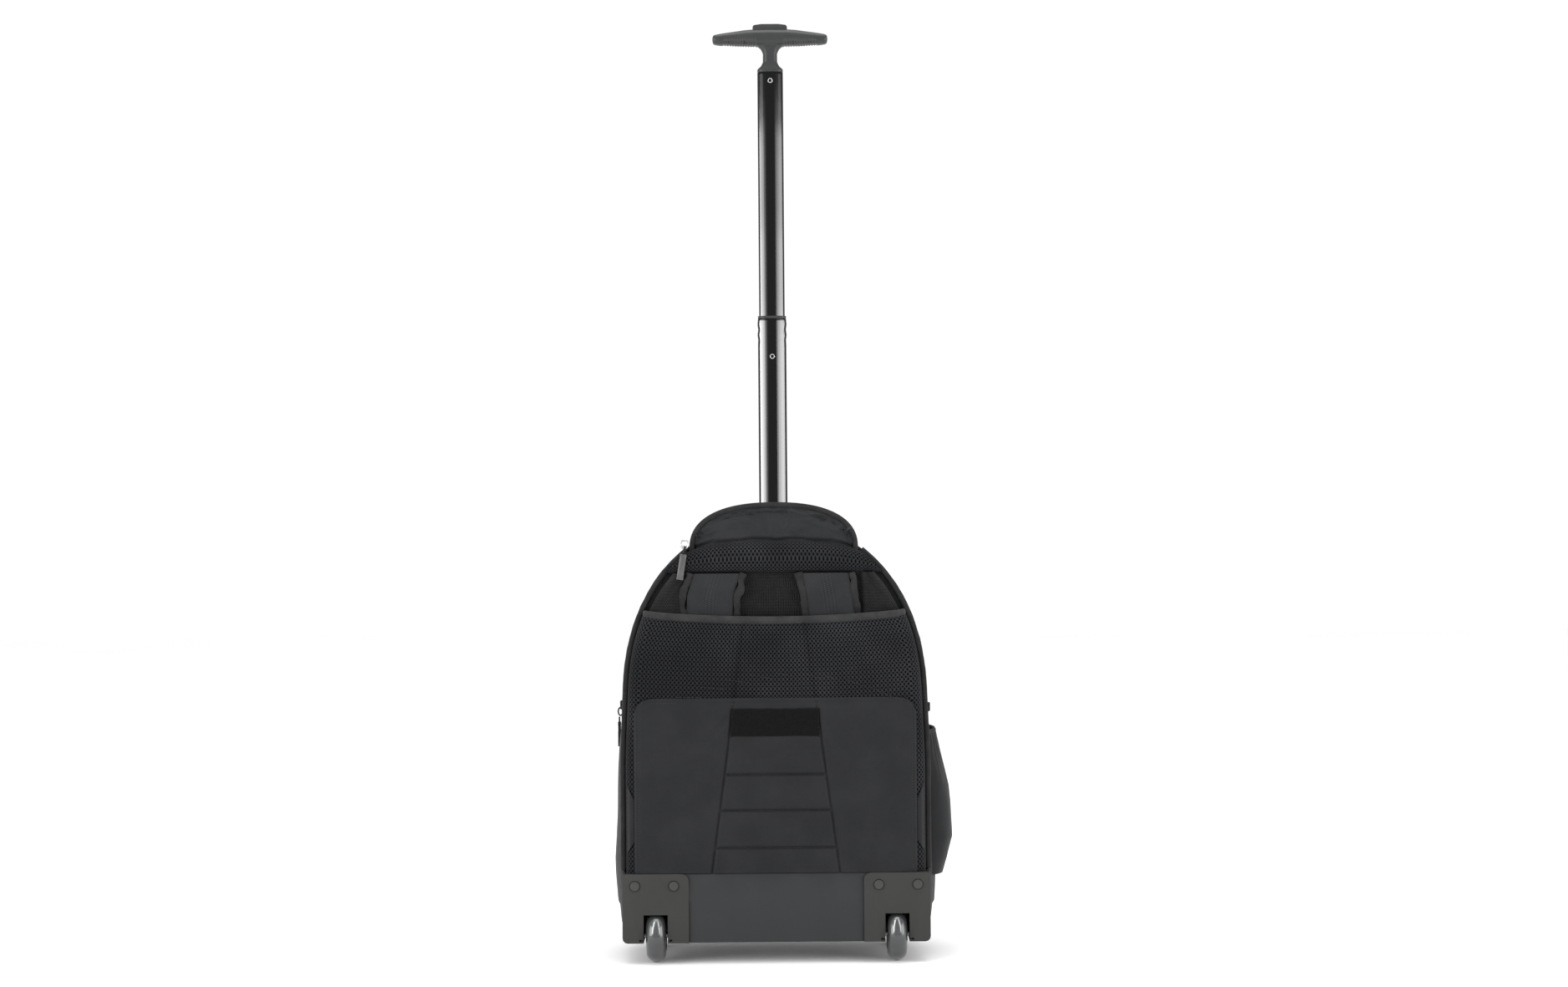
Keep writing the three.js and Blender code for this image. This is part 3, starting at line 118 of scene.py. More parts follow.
@dataclass(frozen=True)
class Arch:
    """An upright outline with rounded lower corners, straight sides and an arched top."""

    half: float
    base: float
    top: float
    spring: float
    power: float
    corner: float

    def height(self, across: float, inset: float = 0.0) -> float:
        """Returns how high the arch is at a distance from its middle."""
        share = min(abs(across) / (self.half - inset), 1.0)
        return self.spring + (self.top - inset - self.spring) * (1 - share**self.power) ** (1 / self.power)

    def reach(self, height: float, inset: float = 0.0) -> float:
        """Returns half the width at a height."""
        if height <= self.spring:
            return self.half - inset
        share = min((height - self.spring) / (self.top - inset - self.spring), 1.0)
        return (self.half - inset) * (1 - share**self.power) ** (1 / self.power)

    def outline(self, inset: float, steps: int) -> list[Pair]:
        """Walks round the outline from the middle of its base, with equal steps.

        Args:
            inset: how far the outline is drawn in.
            steps: how many points it has.

        Returns:
            The points, as X and Z, to the right first.
        """
        half = self.half - inset
        base = self.base + inset
        corner = max(self.corner - inset, 1.0)
        rise = self.top - inset - self.spring
        right: list[Pair] = [(0.0, base)]
        for i in range(25):
            angle = math.pi / 2 * (i / 24 - 1)
            right.append((half - corner + corner * math.cos(angle), base + corner + corner * math.sin(angle)))
        for i in range(121):
            angle = math.pi / 2 * i / 120
            right.append(
                (half * math.cos(angle) ** (2 / self.power), self.spring + rise * math.sin(angle) ** (2 / self.power))
            )
        left = [(-x, z) for x, z in right[:-1]]
        return even_walk([*right, *reversed(left)], steps)


def even_walk(points: Sequence[Pair], steps: int) -> list[Pair]:
    """Places points at equal distances along a path.

    Args:
        points: corners of the path.
        steps: how many points are wanted. The last one stops a step before the path's end.

    Returns:
        The points.
    """
    run = [0.0]
    for (x0, z0), (x1, z1) in zip(points, points[1:]):
        run.append(run[-1] + math.hypot(x1 - x0, z1 - z0))
    walk: list[Pair] = []
    j = 0
    for i in range(steps):
        place = run[-1] * i / steps
        while j < len(run) - 2 and run[j + 1] < place:
            j += 1
        share = (place - run[j]) / max(run[j + 1] - run[j], 1e-9)
        walk.append((blend(points[j][0], points[j + 1][0], share), blend(points[j][1], points[j + 1][1], share)))
    return walk


BODY = Arch(half=175, base=23.8, top=508, spring=300, power=2.15, corner=16)
FRONT = Arch(half=175, base=23.8, top=494, spring=300, power=2.15, corner=16)
POCKET = Arch(half=150, base=31.8, top=345, spring=225, power=2.6, corner=34)
DOME = Arch(half=97, base=462, top=526.6, spring=474, power=2.37, corner=1)
BACK_WALL = 19.0
BAND_FACE = 25.3
BAND_DEPTH = 115.0
FRONT_WALL = 140.6
POCKET_FACE = 146.9
SLEEVE_FACE = 3.5
SLEEVE_BACK = 18.7
SLEEVE_BASE = 103.3
POLE_DEPTH = 45.0
SWELL_BY_DEPTH: tuple[Pair, ...] = ((0, 0), (0.07, 0.33), (0.2, 0.72), (0.5, 1), (0.8, 0.74), (0.93, 0.34), (1, 0))
SWELL_BY_HEIGHT: tuple[Pair, ...] = (
    (30, 0.7),
    (60, 0.95),
    (111, 1.15),
    (150, 1),
    (240, 0.68),
    (279, 0.42),
    (324, 0.1),
)
SIDE_SWELL = 12.5
CROWN_FALL = 14.0


def side_reach(y: float, z: float) -> float:
    """Returns how far the swollen side of the bag stands from its middle."""
    swell = SIDE_SWELL * read(SWELL_BY_DEPTH, (y - BAND_FACE) / BAND_DEPTH) * read(SWELL_BY_HEIGHT, z)
    return 172 * (1 + swell / 175)


def side_bulge(z: float) -> float:
    """Returns how far the back's side edges stand outside the straight seam line at a height."""
    return 3.4 * (1 - ease(z, 215, 330))


def band_top(x: float) -> float:
    """Returns the height of the air mesh band's upper edge, which falls away at its ends."""
    return 480.8 - 9.5 * min((x / 96) ** 4, 1.9)


def seam_spread(z: float) -> float:
    """Returns how far the two long back seams stand from the middle at a height."""
    return 35 + (389 - z) * 0.1335


# Shaping

def clear_selection() -> None:
    """Deselects everything, because the frame's own pieces come in selected."""
    if bpy.context.mode != "OBJECT":
        bpy.ops.object.mode_set(mode="OBJECT")
    bpy.ops.object.select_all(action="DESELECT")


def pick(piece: Piece) -> None:
    """Selects one piece alone and makes it active."""
    clear_selection()
    piece.select_set(True)
    bpy.context.view_layer.objects.active = piece


def christen(name: str) -> Piece:
    """Names the new active piece and puts its place into its mesh."""
    piece = bpy.context.active_object
    piece.name = name
    piece.data.name = name
    bpy.ops.object.transform_apply(location=True, rotation=True, scale=True)
    return piece


def laid_grid(name: str, across: int, along: int, rule: Rule, span: Pair, weld: bool = False) -> Piece:
    """Adds a grid and lays each of its crossings where a rule puts it.

    Args:
        name: name of the piece.
        across: cells along the first share.
        along: cells along the second share.
        rule: gives the place of two shares between 0 and 1.
        span: the cloth's size in millimetres, which its UV map keeps in metres.
        weld: whether edges that meet are joined.

    Returns:
        The new piece.
    """
    clear_selection()
    bpy.ops.mesh.primitive_grid_add(x_subdivisions=across, y_subdivisions=along, size=2)
    piece = christen(name)
    for vertex in piece.data.vertices:
        vertex.co = rule((vertex.co.x + 1) / 2, (vertex.co.y + 1) / 2)
    for loop in piece.data.uv_layers.active.data:
        loop.uv = (loop.uv[0] * span[0] * MM, loop.uv[1] * span[1] * MM)
    if weld:
        edit(piece, lambda: bpy.ops.mesh.remove_doubles(threshold=1e-6))
    return piece


def edit(piece: Piece, work: Callable[[], object], everything: bool = True) -> None:
    """Runs an edit-mode operator on a piece, with all of it or nothing new selected."""
    pick(piece)
    bpy.ops.object.mode_set(mode="EDIT")
    if everything:
        bpy.ops.mesh.select_all(action="SELECT")
    work()
    bpy.ops.object.mode_set(mode="OBJECT")


def select_faces(piece: Piece, test: Callable[[Vector, Vector], bool]) -> int:
    """Selects the faces whose middle and normal pass a test.

    Args:
        piece: the piece to look at.
        test: gets a face's middle in the drawing's millimetres, and its normal.

    Returns:
        How many faces are selected.
    """
    pick(piece)
    bpy.ops.object.mode_set(mode="EDIT")
    bpy.ops.mesh.select_mode(type="FACE")
    bpy.ops.mesh.select_all(action="DESELECT")
    bpy.ops.object.mode_set(mode="OBJECT")
    count = 0
    for face in piece.data.polygons:
        face.select = test(BENCH.back(face.center), face.normal)
        count += face.select
    return count


def drop_faces(piece: Piece, test: Callable[[Vector, Vector], bool]) -> None:
    """Deletes the faces whose middle passes a test."""
    if select_faces(piece, test):
        edit(piece, lambda: bpy.ops.mesh.delete(type="FACE"), everything=False)


def cut_at(piece: Piece, point: Vector, normal: Vector) -> None:
    """Cuts all faces along a plane, so that faces on its two sides can be told apart."""
    edit(piece, lambda: bpy.ops.mesh.bisect(plane_co=point, plane_no=normal))


def finish_with(piece: Piece, kind: str, **settings: object) -> None:
    """Adds a modifier with its settings and applies it."""
    pick(piece)
    modifier = piece.modifiers.new(kind.title(), kind)
    for key, value in settings.items():
        setattr(modifier, key, value)
    bpy.ops.object.modifier_apply(modifier=modifier.name)


def subdivide(piece: Piece, levels: int = 1) -> None:
    """Smooths a piece with a subdivision surface."""
    finish_with(piece, "SUBSURF", levels=levels, render_levels=levels)


def smooth(piece: Piece, angle: float = 180.0) -> None:
    """Shades a piece smooth, with edges sharper than an angle left crisp."""
    pick(piece)
    if angle >= 180:
        bpy.ops.object.shade_smooth()
    else:
        bpy.ops.object.shade_smooth_by_angle(angle=math.radians(angle))


def face_outwards(piece: Piece) -> None:
    """Merges doubles and turns all faces of a closed piece outwards."""
    edit(piece, lambda: bpy.ops.mesh.remove_doubles(threshold=1e-6))
    edit(piece, lambda: bpy.ops.mesh.normals_make_consistent(inside=False))


def refined(node: str, name: str, bevel: float, angle: float = 30.0) -> Piece:
    """Copies a solid of the frame, merges its loose faces and rounds its edges.

    Args:
        node: the solid's name.
        name: name of the new piece.
        bevel: width of the rounding in millimetres, or 0 for none.
        angle: edges sharper than this, in degrees, are rounded.

    Returns:
        The new piece, with a UV map in metres.
    """
    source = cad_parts[node]
    clear_selection()
    piece = source.copy()
    piece.data = source.data.copy()
    piece.name = piece.data.name = name
    for key in list(piece.keys()):
        del piece[key]
    bpy.context.scene.collection.objects.link(piece)
    place = source.matrix_world.copy()
    piece.parent = None
    piece.matrix_world = place
    pick(piece)
    bpy.ops.object.transform_apply(location=True, rotation=True, scale=True)
    if piece.data.has_custom_normals:
        bpy.ops.mesh.customdata_custom_splitnormals_clear()
    edit(piece, lambda: bpy.ops.mesh.remove_doubles(threshold=1e-5))
    edit(piece, lambda: bpy.ops.mesh.dissolve_limited(angle_limit=math.radians(1)))
    if bevel:
        finish_with(
            piece,
            "BEVEL",
            width=bevel * MM,
            segments=2,
            limit_method="ANGLE",
            angle_limit=math.radians(angle),
            use_clamp_overlap=True,
        )
    box_map(piece)
    smooth(piece, 35)
    return piece


def box_map(piece: Piece) -> None:
    """Gives a piece a UV map in metres, laid on from the six sides."""
    if not piece.data.uv_layers:
        piece.data.uv_layers.new(name="UVMap")
    edit(piece, lambda: bpy.ops.uv.cube_project(cube_size=1.0, correct_aspect=False, scale_to_bounds=False))


def joined(name: str, pieces: Sequence[Piece]) -> Piece:
    """Joins pieces into the first of them under a new name."""
    clear_selection()
    for piece in pieces:
        piece.select_set(True)
    bpy.context.view_layer.objects.active = pieces[0]
    bpy.ops.object.join()
    whole = bpy.context.active_object
    whole.name = whole.data.name = name
    return whole


def swept(
    name: str,
    path: Sequence[Vector],
    section: Callable[[float, float], Pair],
    sides: int,
    up: Vector = Vector((0, 1, 0)),
    closed: bool = False,
) -> Piece:
    """Sweeps a closed section along a path.

    Args:
        name: name of the piece.
        path: places in the drawing's millimetres.
        section: gives the offset across the path and along up, in millimetres, for a share round the section
            and a share along the path.
        sides: cells round the section.
        up: a direction that the section keeps.
        closed: whether the path's end meets its start.

    Returns:
        The new piece.
    """
    count = len(path)
    ring = list(path) + ([path[0]] if closed else [])
    length = sum((b - a).length for a, b in zip(ring, ring[1:]))

    def place(u: float, v: float) -> Vector:
        step = round(v * (len(ring) - 1))
        here = ring[step]
        before = path[(step - 1) % count] if closed else path[max(step - 1, 0)]
        after = path[(step + 1) % count] if closed else path[min(step + 1, count - 1)]
        ahead = (after - before).normalized()
        across = ahead.cross(up).normalized()
        lift = across.cross(ahead).normalized()
        out, rise = section(u % 1.0, v % 1.0 if closed else v)
        return BENCH.at(*(here + across * out + lift * rise))

    piece = laid_grid(name, sides, len(ring) - 1, place, (sides * 1.5, length), weld=True)
    if closed:
        face_outwards(piece)
    else:
        close_ends(piece)
    return piece


def close_ends(piece: Piece) -> None:
    """Closes the open ends of a piece and turns it outwards."""
    edit(piece, lambda: bpy.ops.mesh.fill_holes(sides=0))
    face_outwards(piece)


def oval(width: float, thickness: float, power: float = 2.0) -> Callable[[float, float], Pair]:
    """Returns the section rule of a superellipse with two full sizes in millimetres."""

    def section(u: float, v: float) -> Pair:
        angle = 2 * math.pi * u
        across = math.copysign(abs(math.cos(angle)) ** (2 / power), math.cos(angle))
        along = math.copysign(abs(math.sin(angle)) ** (2 / power), math.sin(angle))
        return width / 2 * across, thickness / 2 * along

    return section


def puffed(piece: Piece, pinned: Callable[[Vector], float], pressure: float, cap: float, frames: int = 16) -> None:
    """Lets the cloth solver blow a sheet up between its seams.

    Args:
        piece: an open sheet or a closed form.
        pinned: gives how firmly a point is held, from 0 to 1, at a place in the drawing's millimetres.
        pressure: the solver's pressure.
        cap: how far a point may move, in millimetres.
        frames: how long the solver runs.
    """
    start = [vertex.co.copy() for vertex in piece.data.vertices]
    group = piece.vertex_groups.new(name="seams")
    for index, place in enumerate(start):
        group.add([index], pinned(BENCH.back(place)), "REPLACE")
    pick(piece)
    modifier = piece.modifiers.new("Cloth", "CLOTH")
    cloth = modifier.settings
    cloth.quality = 5
    cloth.mass = 0.2
    cloth.tension_stiffness = 25
    cloth.compression_stiffness = 25
    cloth.shear_stiffness = 12
    cloth.bending_stiffness = 0.6
    cloth.use_pressure = True
    cloth.uniform_pressure_force = pressure
    cloth.shrink_min = -0.04
    cloth.vertex_group_mass = group.name
    cloth.effector_weights.gravity = 0
    modifier.collision_settings.use_collision = False
    modifier.point_cache.frame_start = 1
    modifier.point_cache.frame_end = frames
    scene = bpy.context.scene
    for step in range(1, frames + 1):
        scene.frame_set(step)
    bpy.ops.object.modifier_apply(modifier=modifier.name)
    scene.frame_set(1)
    for vertex, place in zip(piece.data.vertices, start):
        move = vertex.co - place
        if move.length > cap * MM:
            vertex.co = place + move.normalized() * cap * MM
    piece.vertex_groups.remove(piece.vertex_groups["seams"])


def stitched(name: str, path: Sequence[Vector], out: Vector, pitch: float = 3.2, length: float = 2.3) -> Piece:
    """Lays a row of short thread stitches along a path.

    Args:
        name: name of the piece.
        path: places in the drawing's millimetres, close together.
        out: the direction that the cloth faces.
        pitch: from one stitch to the next, in millimetres.
        length: of a stitch, in millimetres.

    Returns:
        The row as one piece.
    """
    clear_selection()
    bpy.ops.mesh.primitive_uv_sphere_add(segments=6, ring_count=4, radius=1)
    stitch = christen(name)
    shape = stitch.data.copy()
    mesh = bmesh.new()
    run = 0.0
    due = pitch / 2
    for a, b in zip(path, path[1:]):
        step = (b - a).length
        if run + step >= due:
            share = (due - run) / max(step, 1e-6)
            ahead = (b - a).normalized()
            across = ahead.cross(out).normalized()
            turn = Matrix((across, out.normalized(), ahead)).transposed().to_4x4()
            size = Matrix.Diagonal((0.42 * MM, 0.34 * MM, length / 2 * MM, 1))
            first = len(mesh.verts)
            mesh.from_mesh(shape)
            mesh.verts.ensure_lookup_table()
            place = Matrix.Translation(BENCH.at(*a.lerp(b, share))) @ turn @ size
            for vertex in mesh.verts[first:]:
                vertex.co = place @ vertex.co
            due += pitch
        run += step
    mesh.to_mesh(stitch.data)
    mesh.free()
    smooth(stitch)
    return stitch


# Finishes

class Board:
    """A material's node board, with short ways to lay and join its nodes."""

    def __init__(self, name: str) -> None:
        """Starts a material with one principled shader."""
        self.material = bpy.data.materials.new(name)
        self.material.use_nodes = True
        self.tree = self.material.node_tree
        self.tree.nodes.clear()
        self.shader = self.node("ShaderNodeBsdfPrincipled")
        output = self.node("ShaderNodeOutputMaterial")
        self.tree.links.new(self.shader.outputs[0], output.inputs[0])

    def node(self, kind: str, **settings: object) -> bpy.types.Node:
        """Adds a node with its settings."""
        made = self.tree.nodes.new(kind)
        for key, value in settings.items():
            setattr(made, key, value)
        return made

    def feed(self, socket: bpy.types.NodeSocket, value: object) -> None:
        """Joins a socket to another, or sets its value."""
        if isinstance(value, bpy.types.NodeSocket):
            self.tree.links.new(value, socket)
        else:
            socket.default_value = value

    def math(self, operation: str, first: object, second: object = 0.0) -> bpy.types.NodeSocket:
        """Adds a math node and returns its output."""
        made = self.node("ShaderNodeMath", operation=operation)
        self.feed(made.inputs[0], first)
        self.feed(made.inputs[1], second)
        return made.outputs[0]

    def uv(self) -> tuple[bpy.types.NodeSocket, bpy.types.NodeSocket]:
        """Returns the two coordinates of the cloth, in metres."""
        coordinates = self.node("ShaderNodeUVMap")
        parts = self.node("ShaderNodeSeparateXYZ")
        self.feed(parts.inputs[0], coordinates.outputs[0])
        return parts.outputs[0], parts.outputs[1]

    def place(self) -> bpy.types.NodeSocket:
        """Returns the place on the object."""
        return self.node("ShaderNodeTexCoord").outputs["Object"]

    def clouds(self, scale: float, detail: float = 3.0, roughness: float = 0.5) -> bpy.types.NodeSocket:
        """Returns noise over the object."""
        made = self.node("ShaderNodeTexNoise")
        self.feed(made.inputs["Vector"], self.place())
        made.inputs["Scale"].default_value = scale
        made.inputs["Detail"].default_value = detail
        made.inputs["Roughness"].default_value = roughness
        return made.outputs[0]

    def spread(self, value: object, low: float, high: float, start: float, stop: float) -> bpy.types.NodeSocket:
        """Maps a value from one range to another, held at its ends."""
        made = self.node("ShaderNodeMapRange", interpolation_type="SMOOTHSTEP")
        for socket, number in zip(made.inputs, (value, low, high, start, stop)):
            self.feed(socket, number)
        return made.outputs[0]

    def mix(self, share: object, first: object, second: object) -> bpy.types.NodeSocket:
        """Mixes two colours."""
        made = self.node("ShaderNodeMix", data_type="RGBA")
        self.feed(made.inputs[0], share)
        self.feed(made.inputs[6], first)
        self.feed(made.inputs[7], second)
        return made.outputs[2]

    def bump(self, height: object, distance: float, strength: float = 1.0, under: object = None) -> None:
        """Raises the surface by a height in millimetres."""
        made = self.node("ShaderNodeBump")
        made.inputs["Strength"].default_value = strength
        made.inputs["Distance"].default_value = distance * MM
        self.feed(made.inputs["Height"], height)
        if under is not None:
            self.feed(made.inputs["Normal"], under)
        self.feed(self.shader.inputs["Normal"], made.outputs[0])

    def set(self, **values: object) -> None:
        """Sets or joins the shader's sockets, with underscores for spaces."""
        for key, value in values.items():
            self.feed(self.shader.inputs[key.replace("_", " ")], value)


Colour = tuple[float, float, float, float]


def grey(value: float, red: float = 1.0, blue: float = 1.0) -> Colour:
    """Returns a linear grey with a slight tint."""
    return value * red, value, value * blue, 1.0


@dataclass(frozen=True)
class Dobby:
    """Black nylon with a small raised diamond weave."""

    name: str = "dobby_nylon"
    pitch: float = 1.7
    base: float = 0.0105
    blue: float = 1.1

    def make(self) -> bpy.types.Material:
        """Builds the cloth's material."""
        board = Board(self.name)
        u, v = board.uv()
        turn = math.pi / (self.pitch * MM)
        rise = board.math("SINE", board.math("MULTIPLY", board.math("ADD", u, v), turn))
        fall = board.math("SINE", board.math("MULTIPLY", board.math("SUBTRACT", u, v), turn))
        dots = board.math("ABSOLUTE", board.math("MULTIPLY", rise, fall))
        weft = board.math("SINE", board.math("MULTIPLY", v, turn * 4.1))
        wear = board.clouds(22, 4, 0.6)
        shade = board.spread(dots, 0.15, 0.85, 0.0, 1.0)
        low, high = grey(self.base * 0.38, 0.95, self.blue), grey(self.base * 2.15, 0.95, self.blue)
        thread = board.mix(shade, low, high)
        worn = board.mix(board.spread(wear, 0.3, 0.75, 0.0, 0.45), thread, grey(self.base * 1.9, 0.98, 1.15))
        board.set(Base_Color=worn, Roughness=board.spread(dots, 0, 1, 0.62, 0.42), Sheen_Weight=0.03)
        board.set(Sheen_Roughness=0.5, Specular_IOR_Level=0.13)
        height = board.math("ADD", board.math("MULTIPLY", dots, 0.8), board.math("MULTIPLY", weft, 0.12))
        board.bump(height, 0.22, 0.9)
        return board.material


@dataclass(frozen=True)
class AirMesh:
    """Spacer mesh with staggered open cells, painted near-black for its dark ground and the shade inside the cells."""

    name: str = "air_mesh"
    across: float = 4.7
    along: float = 5.5
    net: float = 0.0225

    def make(self) -> bpy.types.Material:
        """Builds the mesh's material."""
        board = Board(self.name)
        u, v = board.uv()
        first = board.math("COSINE", board.math("MULTIPLY", u, 2 * math.pi / (self.across * MM)))
        second = board.math("COSINE", board.math("MULTIPLY", v, 2 * math.pi / (2 * self.along * MM)))
        half = board.math("COSINE", board.math("MULTIPLY", u, math.pi / (self.across * MM)))
        cells = board.math("ABSOLUTE", board.math("MULTIPLY", half, second))
        sides = board.math("SINE", board.math("MULTIPLY", u, math.pi / (self.across * MM)))
        rows = board.math("SINE", board.math("MULTIPLY", v, math.pi / (self.along * MM)))
        other = board.math("ABSOLUTE", board.math("MULTIPLY", sides, rows))
        hole = board.math("MAXIMUM", cells, other)
        open_cell_shade = board.spread(hole, 0.66, 0.8, 0.0, 1.0)
        knit = board.math("MULTIPLY", first, 0.25)
        wear = board.spread(board.clouds(14, 3), 0.3, 0.75, 0.7, 1.35)
        bright, dim = grey(self.net, 0.96, 1.12), grey(self.net * 0.72, 0.96, 1.12)
        strands = board.mix(board.spread(knit, -0.25, 0.25, 0, 1), bright, dim)
        tone = board.node("ShaderNodeVectorMath", operation="SCALE")
        board.feed(tone.inputs[0], strands)
        board.feed(tone.inputs["Scale"], wear)
        # The open cells are painted near-black: the dark ground under the mesh together with painted shade inside the
        # cells.
        board.set(Base_Color=board.mix(open_cell_shade, tone.outputs[0], grey(0.0005, 1, 1.1)))
        board.set(Roughness=0.7, Specular_IOR_Level=0.05, Sheen_Weight=0.02)
        board.bump(board.spread(hole, 0.5, 0.88, 1.0, 0.0), 0.5, 0.8)
        return board.material


@dataclass(frozen=True)
class Tape:
    """Woven binding, zip or webbing tape with fine ribs along one direction."""

    name: str
    pitch: float = 1.1
    base: float = 0.011
    lengthways: bool = False
    depth: float = 0.2
    blue: float = 1.0
    groove: float = 0.75

    def make(self) -> bpy.types.Material:
        """Builds the tape's material."""
        board = Board(self.name)
        u, v = board.uv()
        run = u if self.lengthways else v
        cross = v if self.lengthways else u
        ribs = board.math("SINE", board.math("MULTIPLY", run, 2 * math.pi / (self.pitch * MM)))
        picks = board.math("SINE", board.math("MULTIPLY", cross, 2 * math.pi / (self.pitch * 1.7 * MM)))
        weave = board.math("ADD", ribs, board.math("MULTIPLY", picks, 0.35))
        wear = board.spread(board.clouds(55, 4, 0.6), 0.3, 0.72, 0.0, 1.0)
        # Painted shade and highlight on the weave: the grooves between the ribs are painted darker, down to groove
        # times the base, and the rib crests lighter, over the tape's own tone.
        low, high = self.base * self.groove, self.base * self.groove * 1.8
        dark = board.mix(wear, grey(low, 1, self.blue), grey(high, 1, self.blue))
        light = board.mix(wear, grey(self.base * 1.3, 1, self.blue), grey(self.base * 2.1, 1, self.blue))
        board.set(Base_Color=board.mix(board.spread(weave, -0.9, 1.1, 0, 1), dark, light))
        board.set(Roughness=0.7, Sheen_Weight=0.04, Specular_IOR_Level=0.14)
        board.bump(weave, self.depth, 0.6)
        return board.material


@dataclass(frozen=True)
class Loops:
    """Fuzzy loop cloth of a hook-and-loop closing."""

    name: str = "loop_cloth"

    def make(self) -> bpy.types.Material:
        """Builds the loop cloth's material."""
        board = Board(self.name)
        fuzz = board.clouds(1400, 4, 0.75)
        tufts = board.clouds(420, 2, 0.5)
        tone = board.mix(board.spread(fuzz, 0.35, 0.7, 0, 1), grey(0.0015), grey(0.012))
        board.set(Base_Color=tone, Roughness=0.95, Specular_IOR_Level=0.05, Sheen_Weight=0.05)
        board.bump(board.math("ADD", fuzz, tufts), 0.8, 1.0)
        return board.material


@dataclass(frozen=True)
class Moulded:
    """Moulded plastic with a fine grain and faint handling marks."""

    name: str
    tone: Colour
    roughness: float = 0.5
    grain: float = 900.0
    depth: float = 0.05
    coat: float = 0.0
    gloss: float = 0.3

    def make(self) -> bpy.types.Material:
        """Builds the plastic's material."""
        board = Board(self.name)
        marks = board.clouds(30, 5, 0.6)
        pale = tuple(min(part * 1.25, 1.0) for part in self.tone[:3]) + (1.0,)
        board.set(Base_Color=board.mix(board.spread(marks, 0.35, 0.75, 0, 0.6), self.tone, pale))
        low, high = self.roughness * 0.88, min(self.roughness * 1.15, 1.0)
        board.set(Roughness=board.spread(marks, 0.3, 0.7, low, high), Coat_Weight=self.coat, Coat_Roughness=0.08)
        board.set(Specular_IOR_Level=self.gloss)
        board.bump(board.clouds(self.grain, 2), self.depth, 0.5)
        return board.material


@dataclass(frozen=True)
class Metal:
    """Plated or painted metal, with a slight waviness."""

    name: str
    tone: Colour
    roughness: float
    metallic: float = 1.0
    coat: float = 0.0
    wave: float = 0.02
    gloss: float = 0.5

    def make(self) -> bpy.types.Material:
        """Builds the metal's material."""
        board = Board(self.name)
        marks = board.clouds(60, 4, 0.6)
        dull = tuple(part * 0.82 for part in self.tone[:3]) + (1.0,)
        board.set(Base_Color=board.mix(board.spread(marks, 0.35, 0.7, 0, 1), self.tone, dull), Metallic=self.metallic)
        board.set(Roughness=board.spread(marks, 0.3, 0.7, self.roughness * 0.85, self.roughness * 1.3))
        board.set(Coat_Weight=self.coat, Coat_Roughness=0.04, Specular_IOR_Level=self.gloss)
        board.bump(board.clouds(45, 2), self.wave, 0.35)
        return board.material


class Look(Enum):
    """The finishes of the bag."""

    CLOTH = Dobby()
    BAND_CLOTH = Dobby(name="gusset_nylon", base=0.0088)
    DOME_CLOTH = Dobby(name="cover_nylon", base=0.0145)
    POCKET_CLOTH = Dobby(name="bottle_nylon", base=0.0062)
    MESH = AirMesh()
    BINDING = Tape("binding_tape", pitch=1.0, base=0.0125)
    # A lit copy of the binding tape: the same tape with a lighter base, painted light that makes up for the shade the
    # sleeve's mouth lies in.
    MOUTH = Tape("mouth_tape", pitch=1.0, base=0.02)
    PIPING = Tape("piping_cloth", pitch=0.9, base=0.0085, depth=0.15)
    # The ribbed webbing's grooves carry strong painted shade, at a fifth of its base tone.
    RIBBED = Tape("ribbed_webbing", pitch=2.1, base=0.0105, lengthways=True, depth=0.5, groove=0.2)
    ZIP = Tape("zip_tape", pitch=0.8, base=0.006)
    THREAD = Tape("thread", pitch=0.4, base=0.02)
    LOOP = Loops()
    GUARD = Moulded("guard_plastic", grey(0.0165, 0.93, 1.05), 0.42, 700, 0.04)
    HOUSING = Moulded("housing_plastic", grey(0.0215, 1.02, 0.95), 0.55, 500, 0.09)
    RIVET = Moulded("rivet_plastic", grey(0.033, 1.0, 0.96), 0.35, 600, 0.05)
    GRIP = Moulded("grip_plastic", grey(0.026, 0.97, 1.02), 0.36, 800, 0.05)
    WHEEL = Moulded("wheel_rubber", grey(0.017, 0.95, 1.05), 0.2, 300, 0.04, 0.6, 0.5)
    HUB = Moulded("hub_plastic", grey(0.012), 0.5)
    BLACK = Moulded("black_plastic", grey(0.004), 0.42, gloss=0.25)
    PAINT = Metal("gloss_black_paint", grey(0.0005, 1, 1.05), 0.09, 0.0, 0.0, gloss=0.15)
    CHROME = Metal("chrome", grey(0.6), 0.12)
    NICKEL = Metal("dark_nickel", grey(0.14, 1, 1.0), 0.3)
    STEEL = Metal("drawn_steel", grey(0.35), 0.35)
    DARK_METAL = Metal("blackened_metal", grey(0.03), 0.3)


@lru_cache(maxsize=None)
def material(look: Look) -> bpy.types.Material:
    """Builds a finish once."""
    return look.value.make()


def dress(piece: Piece, look: Look) -> None:
    """Gives a piece one finish."""
    piece.data.materials.clear()
    piece.data.materials.append(material(look))


class Body(Enum):
    """The moving bodies."""

    BAG = "bag"
    LOWER = "handle_lower"
    UPPER = "handle_upper"
    BUTTON = "handle_button"
    WHEEL_LEFT = "wheel_left"
    WHEEL_RIGHT = "wheel_right"


def hand_over(piece: Piece, body: Body, look: Look, slot: str, *nodes: str) -> None:
    """Dresses a finished piece and gives it to its body.

    Args:
        piece: the finished piece.
        body: the body that it moves with.
        look: its finish.
        slot: the record's material slot; not used.
        nodes: the solids that it stands for.
    """
    dress(piece, look)
    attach(piece, body.value)
    if nodes:
        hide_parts(*nodes)
    log.info("%s: %d faces", piece.name, len(piece.data.polygons))


# Sub-assemblies

